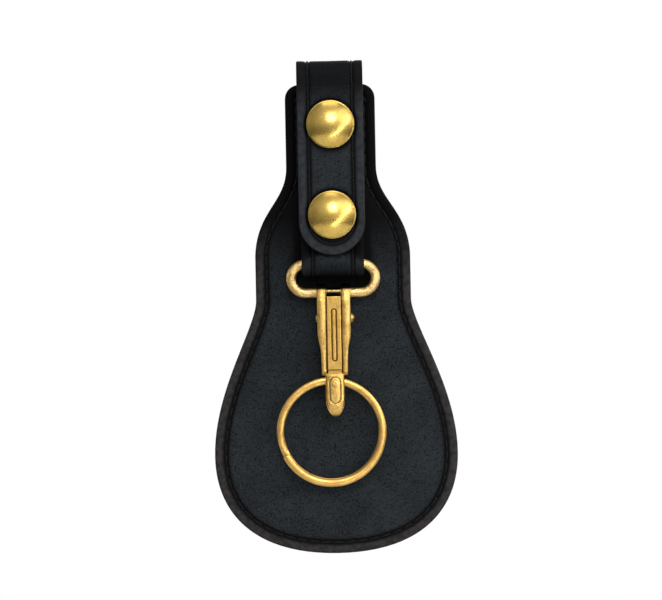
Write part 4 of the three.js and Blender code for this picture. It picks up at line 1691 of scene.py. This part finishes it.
@dataclass
class PressStud:
    """One press stud: cap, socket and spring wire on the tab, stud and post on the carrier."""

    wardrobe: Wardrobe
    level: str
    cap_dome: float = 3.0 * MM
    cap_rim: float = 0.35 * MM
    cap_grime: float = 0.55
    post: float = 1.6 * MM
    hole: float = 1.85 * MM
    clinch_reach: float = 0.9 * MM
    clinch_height: float = 0.35 * MM
    socket_wall: float = 1.3 * MM
    socket_base: float = 0.6 * MM
    socket_edge: float = 0.3 * MM
    stud_head: float = 3.3 * MM
    stud_waist: float = 0.35 * MM
    stud_wall: float = 0.6 * MM
    flange_height: float = 0.45 * MM
    head_height: float = 0.7 * MM
    head_edge: float = 0.6 * MM
    dimple: float = 0.12 * MM

    def __post_init__(self) -> None:
        """Finds the stud's axis."""
        self.at = middle(f"snap_cap_{self.level}")

    def spans(self, part: str) -> tuple[float, float, float]:
        """Front, back and radius of a part's box.

        Args:
            part: The part's name without the level.

        Returns:
            Lowest Y, highest Y and radius.
        """
        low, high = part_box(f"snap_{part}_{self.level}")
        return low[1], high[1], (high[2] - low[2]) / 2

    def cap_profile(self) -> Array:
        """The dome with its rolled rim and its clinched post.

        Returns:
            The profile.
        """
        front, back, radius = self.spans("cap")
        rise = self.cap_dome
        ball = (radius ** 2 + rise ** 2) / (2 * rise)
        limit = math.asin((radius - 0.25 * MM) / ball)
        dome = [(ball * math.sin(turn), front + ball * (1 - math.cos(turn)))
                for turn in np.linspace(0, limit, 26)]
        under = front + rise
        spread = back - self.clinch_height
        tail = rounded([(radius, under - self.cap_rim), (radius, under - 0.02 * MM), (self.post, under),
                        (self.post, spread), (self.post + self.clinch_reach, spread),
                        (self.post + 0.6 * MM, back), (0, back)], 0.12 * MM)
        return np.vstack([dome, tail])

    def socket_profile(self) -> Array:
        """The socket's cup with its rolled mouth.

        Returns:
            The profile, closed on itself.
        """
        front, back, radius = self.spans("socket")
        hole, edge, floor = self.hole, self.socket_edge, front + self.socket_base
        inside = radius - self.socket_wall
        return rounded([(hole, front), (radius - edge, front), (radius, front + 0.4 * MM),
                        (radius, back - edge), (radius - edge, back), (inside, back),
                        (inside, floor), (hole, floor), (hole, front)], 0.25 * MM)

    def stud_profile(self) -> Array:
        """The stud: a waisted head on a flange.

        Returns:
            The profile.
        """
        front, back, flange = self.spans("stud")
        head, tip = self.stud_head, front + self.stud_wall
        return rounded([(0, front), (head - 0.7 * MM, front), (head, front + 0.5 * MM),
                        (head - self.stud_waist, back - 0.5 * MM), (flange, back - self.flange_height),
                        (flange, back), (self.hole, back), (self.hole, tip), (0, tip)], 0.25 * MM)

    def post_profile(self) -> Array:
        """The post with its flat head behind the flap.

        Returns:
            The profile.
        """
        front, back, head = self.spans("post")
        seat, sunk = back - self.head_height, back - self.dimple
        return rounded([(0, front), (self.post, front), (self.post, seat), (head, seat),
                        (head, seat + 0.35 * MM), (head - self.head_edge, back), (1.2 * MM, back),
                        (0.9 * MM, sunk), (0, sunk)], 0.2 * MM)

    def spring_line(self) -> tuple[Array, float]:
        """The spring wire's open circle and its thickness.

        Returns:
            The line's points and the wire's diameter.
        """
        front, back, radius = self.spans("spring")
        wire = back - front
        turn = arc((self.at.x, self.at.z), radius - wire * 0.8, 15, 345, 60)
        return standing(turn, (front + back) / 2), wire

    def build(self) -> None:
        """Builds the five pieces."""
        level = self.level
        cap = turned(f"cap_{level}", self.cap_profile(), self.at, count=72)
        places = vertex_rows(cap)
        radius = np.hypot(places[:, 0] - self.at.x, places[:, 2] - self.at.z)
        # Painted shade on the cap's outer rim, dimming what it reflects there.
        rim = ramp(radius - radius.max() + 0.75 * MM, 0.6 * MM)
        point_values(cap, "metal_shade", self.cap_grime * rim)
        line, wire = self.spring_line()
        pieces = (
            ("cap", Slot.SNAP, "front_tab", cap),
            ("socket", Slot.SNAP, "front_tab", turned(f"socket_{level}", self.socket_profile(), self.at)),
            ("spring", Slot.SPRING, "front_tab",
             swept(f"socket_spring_{level}", line, Vector((0, 1, 0)), oval(wire, wire, 10), False)),
            ("stud", Slot.SNAP, "holder", turned(f"stud_{level}", self.stud_profile(), self.at)),
            ("post", Slot.SNAP, "holder", turned(f"post_{level}", self.post_profile(), self.at)),
        )
        for part, slot, body, piece in pieces:
            self.wardrobe.dress(piece, slot, body, f"snap_{part}_{level}")


# ---------------------------------------------------------------- dee, hook and ring


@dataclass
class Dee:
    """The oblong loop of cast wire that carries the hook."""

    wardrobe: Wardrobe
    squareness: float = 2.15
    gate_room: float = 2.5 * MM
    rubbed_height: float = 2.25 * MM

    def build(self) -> None:
        """Builds the loop as one wire, with painted shade between the hook's lugs except for one line left
        unshaded.
        """
        low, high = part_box("dee_loop")
        wire = high[1] - low[1]
        radius = (high[2] - low[2] - wire) / 2
        _, y, z = np.mean([low, high], axis=0)
        side = high[0] - wire / 2 - radius
        flat = np.vstack([arc((side, z), radius, -90, 90, 60), arc((-side, z), radius, 90, 270, 60)])
        line = standing(evened(flat, 0.35 * MM), y)
        piece = swept("dee_wire", line, Vector((0, 1, 0)), oval(wire, wire, 28, self.squareness), True)
        places = vertex_rows(piece)
        # Painted shade on the lower bar between the hook's lugs, with one line left unshaded.
        between = ramp(self.gate_room - np.abs(places[:, 0]), 0.3 * MM) * (places[:, 2] < z)
        unshaded_line = bell(places[:, 2] - low[2] - self.rubbed_height, 0.22 * MM, 4)
        point_values(piece, "metal_shade", between * (1 - unshaded_line))
        self.wardrobe.dress(piece, Slot.DEE, "dee", "dee_loop")


@dataclass
class Casting:
    """A cast piece: a CAD node's shape, remeshed finely so that its edges are softly rounded."""

    node: str
    name: str
    voxel: float
    rounds: int
    shape: Callable[[Array, Array], Array] | None = None
    metal_shade: Callable[[Array], Array] | None = None

    def build(self) -> bpy.types.Object:
        """Copies the node, rounds its edges and stores its wear and painted shade.

        Returns:
            The casting's object.
        """
        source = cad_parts[self.node]
        mesh = source.data.copy()
        mesh.transform(source.matrix_world)
        piece = linked(self.name, mesh)
        face_out(piece)
        remesh = piece.modifiers.new("remesh", "REMESH")
        remesh.mode = "VOXEL"
        remesh.voxel_size = self.voxel
        smooth = piece.modifiers.new("smooth", "SMOOTH")
        smooth.factor = 0.5
        smooth.iterations = self.rounds
        apply_modifiers(piece)
        piece.data.materials.clear()
        piece.data.shade_smooth()
        self.finish_mesh(piece)
        return piece

    def finish_mesh(self, piece: bpy.types.Object) -> None:
        """Carves the details and stores the wear from how much each place sticks out, with painted shade
        on faces that turn sideways.

        Args:
            piece: The remeshed object.
        """
        mesh = piece.data
        places = vertex_rows(piece)
        normals = vertex_rows(piece, "normal")
        if self.shape:
            places = self.shape(places, normals)
            mesh.vertices.foreach_set("co", places.ravel())
            mesh.update()
        ends = np.empty(len(mesh.edges) * 2, dtype=np.int64)
        mesh.edges.foreach_get("vertices", ends)
        bulge = self.bulge(places, normals, ends.reshape(-1, 2))
        facing = np.abs(normals[:, 1]) ** 1.5
        # Wear from how much each place sticks out, and painted shade on faces that turn sideways.
        point_values(piece, "wear_and_shade", np.clip(0.12 + 0.5 * facing + bulge / (0.05 * MM), 0, 1))
        # Painted shade where the piece asks for it.
        if self.metal_shade:
            point_values(piece, "metal_shade", self.metal_shade(places))

    @staticmethod
    def bulge(places: Array, normals: Array, ends: Array) -> Array:
        """How far each vertex stands out from the mean of its neighbours, smoothed.

        Args:
            places: Vertex places.
            normals: Vertex normals.
            ends: The two ends of each edge.

        Returns:
            The bulge, positive on edges that stick out.
        """
        count = len(places)
        degree = np.bincount(ends.ravel(), minlength=count)[:, None]

        def mean(values: Array) -> Array:
            """The mean over each vertex's neighbours.

            Args:
                values: One row for each vertex.

            Returns:
                One row for each vertex.
            """
            total = np.zeros_like(values)
            np.add.at(total, ends[:, 0], values[ends[:, 1]])
            np.add.at(total, ends[:, 1], values[ends[:, 0]])
            return total / np.maximum(degree, 1)

        spread = places
        for _ in range(6):
            spread = mean(spread)
        stick = ((places - spread) * normals).sum(axis=1)[:, None]
        for _ in range(2):
            stick = (stick + mean(stick)) / 2
        return stick[:, 0]


@dataclass
class SnapHook:
    """The cast hook with its nose, its sprung gate and the gate's pin and spring."""

    wardrobe: Wardrobe
    boss_drop: float = 3.4 * MM
    boss_radius: float = 0.85 * MM
    oblong_half: float = 1.75 * MM
    oblong_length: float = 8.2 * MM
    oblong_drop: float = 1.3 * MM
    cut: float = 0.16 * MM
    boss_height: float = 0.42 * MM
    nose_top: float = 0.6 * MM
    nose_depth: float = 2.2 * MM
    nose_roll: float = 0.55 * MM
    tip_length: float = 6 * MM
    tip_taper: float = 0.16
    rail_end: float = 4.1 * MM
    rail_gap: float = 0.2 * MM
    lug_black: float = 2.3 * MM
    pin_radius: float = 0.9 * MM
    pin_head: float = 1.8 * MM
    pin_proud: float = 0.06 * MM
    spring_wire: float = 0.5 * MM
    spring_leg: float = 2.2 * MM
    spring_turns: float = 3.5

    def carve_nose(self, places: Array, normals: Array) -> Array:
        """Raises a round boss and cuts an oblong line on the nose's face.

        Args:
            places: Vertex places.
            normals: Vertex normals.

        Returns:
            The new places.
        """
        low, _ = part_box("hook_body")
        gate_low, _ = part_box("hook_gate")
        top = gate_low[2] + self.nose_top
        face = (normals[:, 1] < -0.6) & (places[:, 2] < top)
        face &= places[:, 1] < low[1] + self.nose_depth
        x = places[:, 0]
        z = top - self.oblong_drop - places[:, 2]
        core = np.clip(z, self.oblong_half, self.oblong_length - self.oblong_half)
        line = bell(np.hypot(x, z - core) - self.oblong_half, 0.22 * MM)
        from_boss = np.hypot(x, z - self.boss_drop + self.oblong_drop)
        boss = np.clip(1 - (from_boss / self.boss_radius) ** 2, 0, 1)
        push = np.where(face, self.cut * line - self.boss_height * np.sqrt(boss), 0.0)
        side = ramp(np.abs(x), 3 * MM)
        push += np.where(face, self.nose_roll * side ** 2.5, 0.0)
        moved = places.copy()
        front = moved[:, 1] + push - self.crown(places, normals)
        moved[:, 1] = np.maximum(front, low[1] - 0.1 * MM)
        tip = ramp(low[2] + self.tip_length - places[:, 2], self.tip_length)
        moved[:, 0] *= 1 - self.tip_taper * tip ** 2
        return moved

    def crown(self, places: Array, normals: Array) -> Array:
        """How far the rails' faces are crowned, most of all on the pads beside the pin.

        Args:
            places: Vertex places.
            normals: Vertex normals.

        Returns:
            The rise towards the front at each vertex.
        """
        _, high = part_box("hook_body")
        gate_low, gate_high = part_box("hook_gate")
        pin = middle("hook_gate_pin")
        x, z = np.abs(places[:, 0]), places[:, 2]
        inner = gate_high[0] + self.rail_gap
        half = np.interp(z, (gate_low[2], pin.z - 3 * MM), (self.rail_end, high[0]))
        share = (x - (inner + half) / 2) / ((half - inner) / 2)
        face = (normals[:, 1] < -0.45) & (x > inner - 0.05 * MM) & (z > gate_low[2])
        face &= z < high[2] - 1.2 * MM
        height = np.interp(z, (pin.z - 6 * MM, pin.z - 2 * MM, pin.z + 6 * MM), (0.2, 0.5, 0.35)) * MM
        return np.where(face, height * np.clip(1 - share ** 2, 0, 1), 0.0)

    def lug_grime(self, places: Array) -> Array:
        """Painted shade, black on top of the lugs where the strap hangs over them, from 0 to 1."""
        _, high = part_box("hook_body")
        return ramp(places[:, 2] - high[2] + self.lug_black, 0.7 * MM)

    def pin_profile(self) -> Array:
        """The pin: domed head on the right, peened end on the left, along X.

        Returns:
            The profile.
        """
        low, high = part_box("hook_gate_pin")
        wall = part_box("hook_body")[1][0] + self.pin_proud
        pin, head = self.pin_radius, self.pin_head
        return rounded([(0, low[0]), (pin, low[0] + 0.08 * MM), (1.4 * MM, -wall), (pin, -wall),
                        (pin, wall), (head, wall), (head - 0.1 * MM, wall + 0.5 * MM),
                        (1.1 * MM, high[0] - 0.2 * MM), (0, high[0])], 0.2 * MM)

    def spring(self) -> bpy.types.Object:
        """The coil round the pin with its two legs, as one swept wire.

        Returns:
            The spring's object.
        """
        low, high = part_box("hook_gate_spring")
        wire = self.spring_wire
        pin = middle("hook_gate_pin")
        radius = high[2] - pin.z - wire / 2
        angle = np.linspace(math.pi, math.pi - math.tau * self.spring_turns, 150)
        share = np.linspace(-0.5, 0.5, 150)
        coil = np.stack([share * (high[0] - low[0] - wire), pin.y + radius * np.cos(angle),
                         pin.z + radius * np.sin(angle)], axis=1)
        front = np.array([(coil[0][0], low[1] + wire / 2, pin.z - self.spring_leg)])
        back = np.array([(coil[-1][0], high[1] - wire / 2, pin.z - self.spring_leg)])
        line = evened(np.vstack([front, coil, back]), 0.22 * MM, closed=False)
        return swept("gate_spring_wire", line, Vector((1, 0, 0)), oval(wire, wire, 10), False)

    def build(self) -> None:
        """Builds the hook's four pieces."""
        body = Casting("hook_body", "hook_casting", 0.17 * MM, 5, self.carve_nose, self.lug_grime).build()
        self.wardrobe.dress(body, Slot.HOOK, "hook", "hook_body")
        gate = Casting("hook_gate", "gate_pressing", 0.11 * MM, 2).build()
        self.wardrobe.dress(gate, Slot.GATE, "gate", "hook_gate")
        pin = turned("gate_pin_turned", self.pin_profile(), middle("hook_gate_pin"), "X", 40)
        self.wardrobe.dress(pin, Slot.HOOK, "hook", "hook_gate_pin")
        spring = self.wardrobe.dress(self.spring(), Slot.SPRING, "", "hook_gate_spring")
        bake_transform(spring)


@dataclass
class SplitRing:
    """The key ring: two flat turns of one wire with a step between them."""

    wardrobe: Wardrobe
    wire: float = 2.4 * MM
    leaf: float = 1.25 * MM
    leaf_gap: float = 0.08 * MM
    crossover: float = math.radians(34)
    crossover_end: float = math.radians(207)
    nesting: float = 0.35 * MM

    def line(self) -> Array:
        """The wire's middle line.

        Returns:
            The points, one row each.
        """
        low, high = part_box("split_ring")
        radius = (high[2] - low[2] - self.wire) / 2
        x, y, z = np.mean([low, high], axis=0)
        travelled = np.linspace(0, 4 * math.pi - self.crossover, 620)
        share = np.clip((travelled - (math.tau - self.crossover)) / self.crossover, 0, 1)
        share = share * share * (3 - 2 * share)
        angle = self.crossover_end + travelled
        radius = radius - self.nesting * share * (1 - np.sin(angle)) / 2
        return np.stack([x + radius * np.cos(angle), y + (self.leaf + self.leaf_gap) * (share - 0.5),
                         z + radius * np.sin(angle)], axis=1)

    def build(self) -> None:
        """Builds the ring."""
        piece = swept("ring_wire", self.line(), Vector((0, 1, 0)), oval(self.wire, self.leaf, 24), False)
        self.wardrobe.dress(piece, Slot.RING, "key_ring", "split_ring")


# ---------------------------------------------------------------- studio


@dataclass(frozen=True)
class SoftLight:
    """A studio lamp aimed at the object: its length, breadth and turn about its own aim."""

    name: str
    at: tuple[float, float, float]
    size: float
    power: float
    breadth: float | None = None
    turn: float = 0.0


@dataclass
class Studio:
    """Pale floor, white surround, soft lamps and the camera."""

    distance: float = 1.2
    sensor: float = 36.0
    width: float = 208.3 * MM
    aim: tuple[float, float] = (-0.8 * MM, -65.95 * MM)
    lean: float = math.radians(-1.1)
    floor_drop: float = 0.11
    floor_radius: float = 0.4
    floor_colour: Colour = (0.62, 0.62, 0.61, 1.0)
    lights: tuple[SoftLight, ...] = field(default_factory=lambda: (
        SoftLight("key", (0.06, -0.8, 0.34), 0.36, 3.0),
        SoftLight("fill", (0.7, -0.55, 0.4), 0.8, 2.2),
        SoftLight("streak", (0.14, -0.2, -0.07), 0.54, 0.3, 0.02, math.radians(48)),
        SoftLight("right", (0.95, 0.2, 0.1), 0.5, 2.2),
        SoftLight("left", (-0.95, 0.2, 0.1), 0.5, 1.4),
        SoftLight("top", (0.0, -0.05, 0.75), 0.5, 1.6),
        SoftLight("rear", (0.35, 0.75, 0.3), 0.6, 3.4),
    ))

    def build_camera(self) -> None:
        """Sets up the long-lens camera, level with the object and leaning a little."""
        data = bpy.data.cameras.new("camera")
        data.sensor_width = self.sensor
        data.lens = self.sensor * self.distance / self.width
        data.clip_start = 0.01
        camera = linked("camera", data)
        upright = Matrix.Rotation(math.radians(90), 4, "X") @ Matrix.Rotation(self.lean, 4, "Z")
        camera.matrix_world = Matrix.Translation((self.aim[0], -self.distance, self.aim[1])) @ upright
        bpy.context.scene.camera = camera

    def build_lights(self) -> None:
        """Sets up the lamps."""
        target = Vector((0, 0, self.aim[1]))
        for lamp in self.lights:
            data = bpy.data.lights.new(lamp.name, "AREA")
            data.shape = "RECTANGLE"
            data.size = lamp.size
            data.size_y = lamp.breadth or lamp.size
            data.energy = lamp.power
            light = linked(lamp.name, data)
            aim = (target - Vector(lamp.at)).to_track_quat("-Z", "Y").to_matrix().to_4x4()
            light.matrix_world = Matrix.Translation(lamp.at) @ aim @ Matrix.Rotation(lamp.turn, 4, "Z")
            light.visible_camera = False

    def build_floor(self) -> None:
        """Lays a pale round floor under the hanging object."""
        low, _ = CAD_BOX
        disc = bmesh.new()
        bmesh.ops.create_circle(disc, cap_ends=True, segments=96, radius=self.floor_radius)
        mesh = bpy.data.meshes.new("floor")
        disc.to_mesh(mesh)
        disc.free()
        mesh.transform(Matrix.Translation((0, 0, low[2] - self.floor_drop)))
        floor = linked("floor", mesh)
        material, nodes, shader = fresh_material("pale_floor")
        nodes.feed(shader, {"Base Color": self.floor_colour, "Roughness": 0.9})
        mesh.materials.append(material)

    def build_world(self) -> None:
        """Gives a plain white surround, softer and graded in what the metal reflects."""
        world = bpy.data.worlds.new("studio")
        bpy.context.scene.world = world
        world.use_nodes = True
        world.node_tree.nodes.clear()
        nodes = Nodes(world.node_tree)
        heading = nodes.add("ShaderNodeTexCoord").outputs["Generated"]
        split = nodes.add("ShaderNodeSeparateXYZ", {0: heading}).outputs
        ahead = nodes.math("ABSOLUTE", split[1])
        level = nodes.math("MULTIPLY", nodes.span(split[2], -0.75, 0.6, 0.1, 0.9),
                           nodes.span(ahead, 0.1, 0.95, 0.45, 1.0))
        level = nodes.math("MULTIPLY", level, nodes.span(split[0], -0.8, 0.4, 0.75, 1.0))
        seen = nodes.add("ShaderNodeLightPath").outputs["Is Camera Ray"]
        soft = nodes.add("ShaderNodeBackground", {"Color": (1, 1, 1, 1), "Strength": level})
        plain = nodes.add("ShaderNodeBackground", {"Color": (1, 1, 1, 1), "Strength": 1.0})
        both = nodes.add("ShaderNodeMixShader", {0: seen, 1: soft.outputs[0], 2: plain.outputs[0]})
        nodes.add("ShaderNodeOutputWorld", {"Surface": both.outputs[0]})

    def build(self) -> None:
        """Builds the whole studio."""
        self.build_camera()
        self.build_lights()
        self.build_floor()
        self.build_world()
        bpy.context.scene.view_settings.view_transform = "Standard"


# ---------------------------------------------------------------- main


def main() -> None:
    """Builds the studio and each sub-assembly in order."""
    logging.basicConfig(level=logging.INFO, format="%(name)s %(message)s")
    wardrobe = Wardrobe()
    stitcher = StitchTree()
    Studio().build()
    Flap(wardrobe, stitcher).build()
    Strap(wardrobe, stitcher).build()
    for level in ("upper", "lower"):
        PressStud(wardrobe, level).build()
    Dee(wardrobe).build()
    SnapHook(wardrobe).build()
    SplitRing(wardrobe).build()


if __name__ == "__main__":
    main()
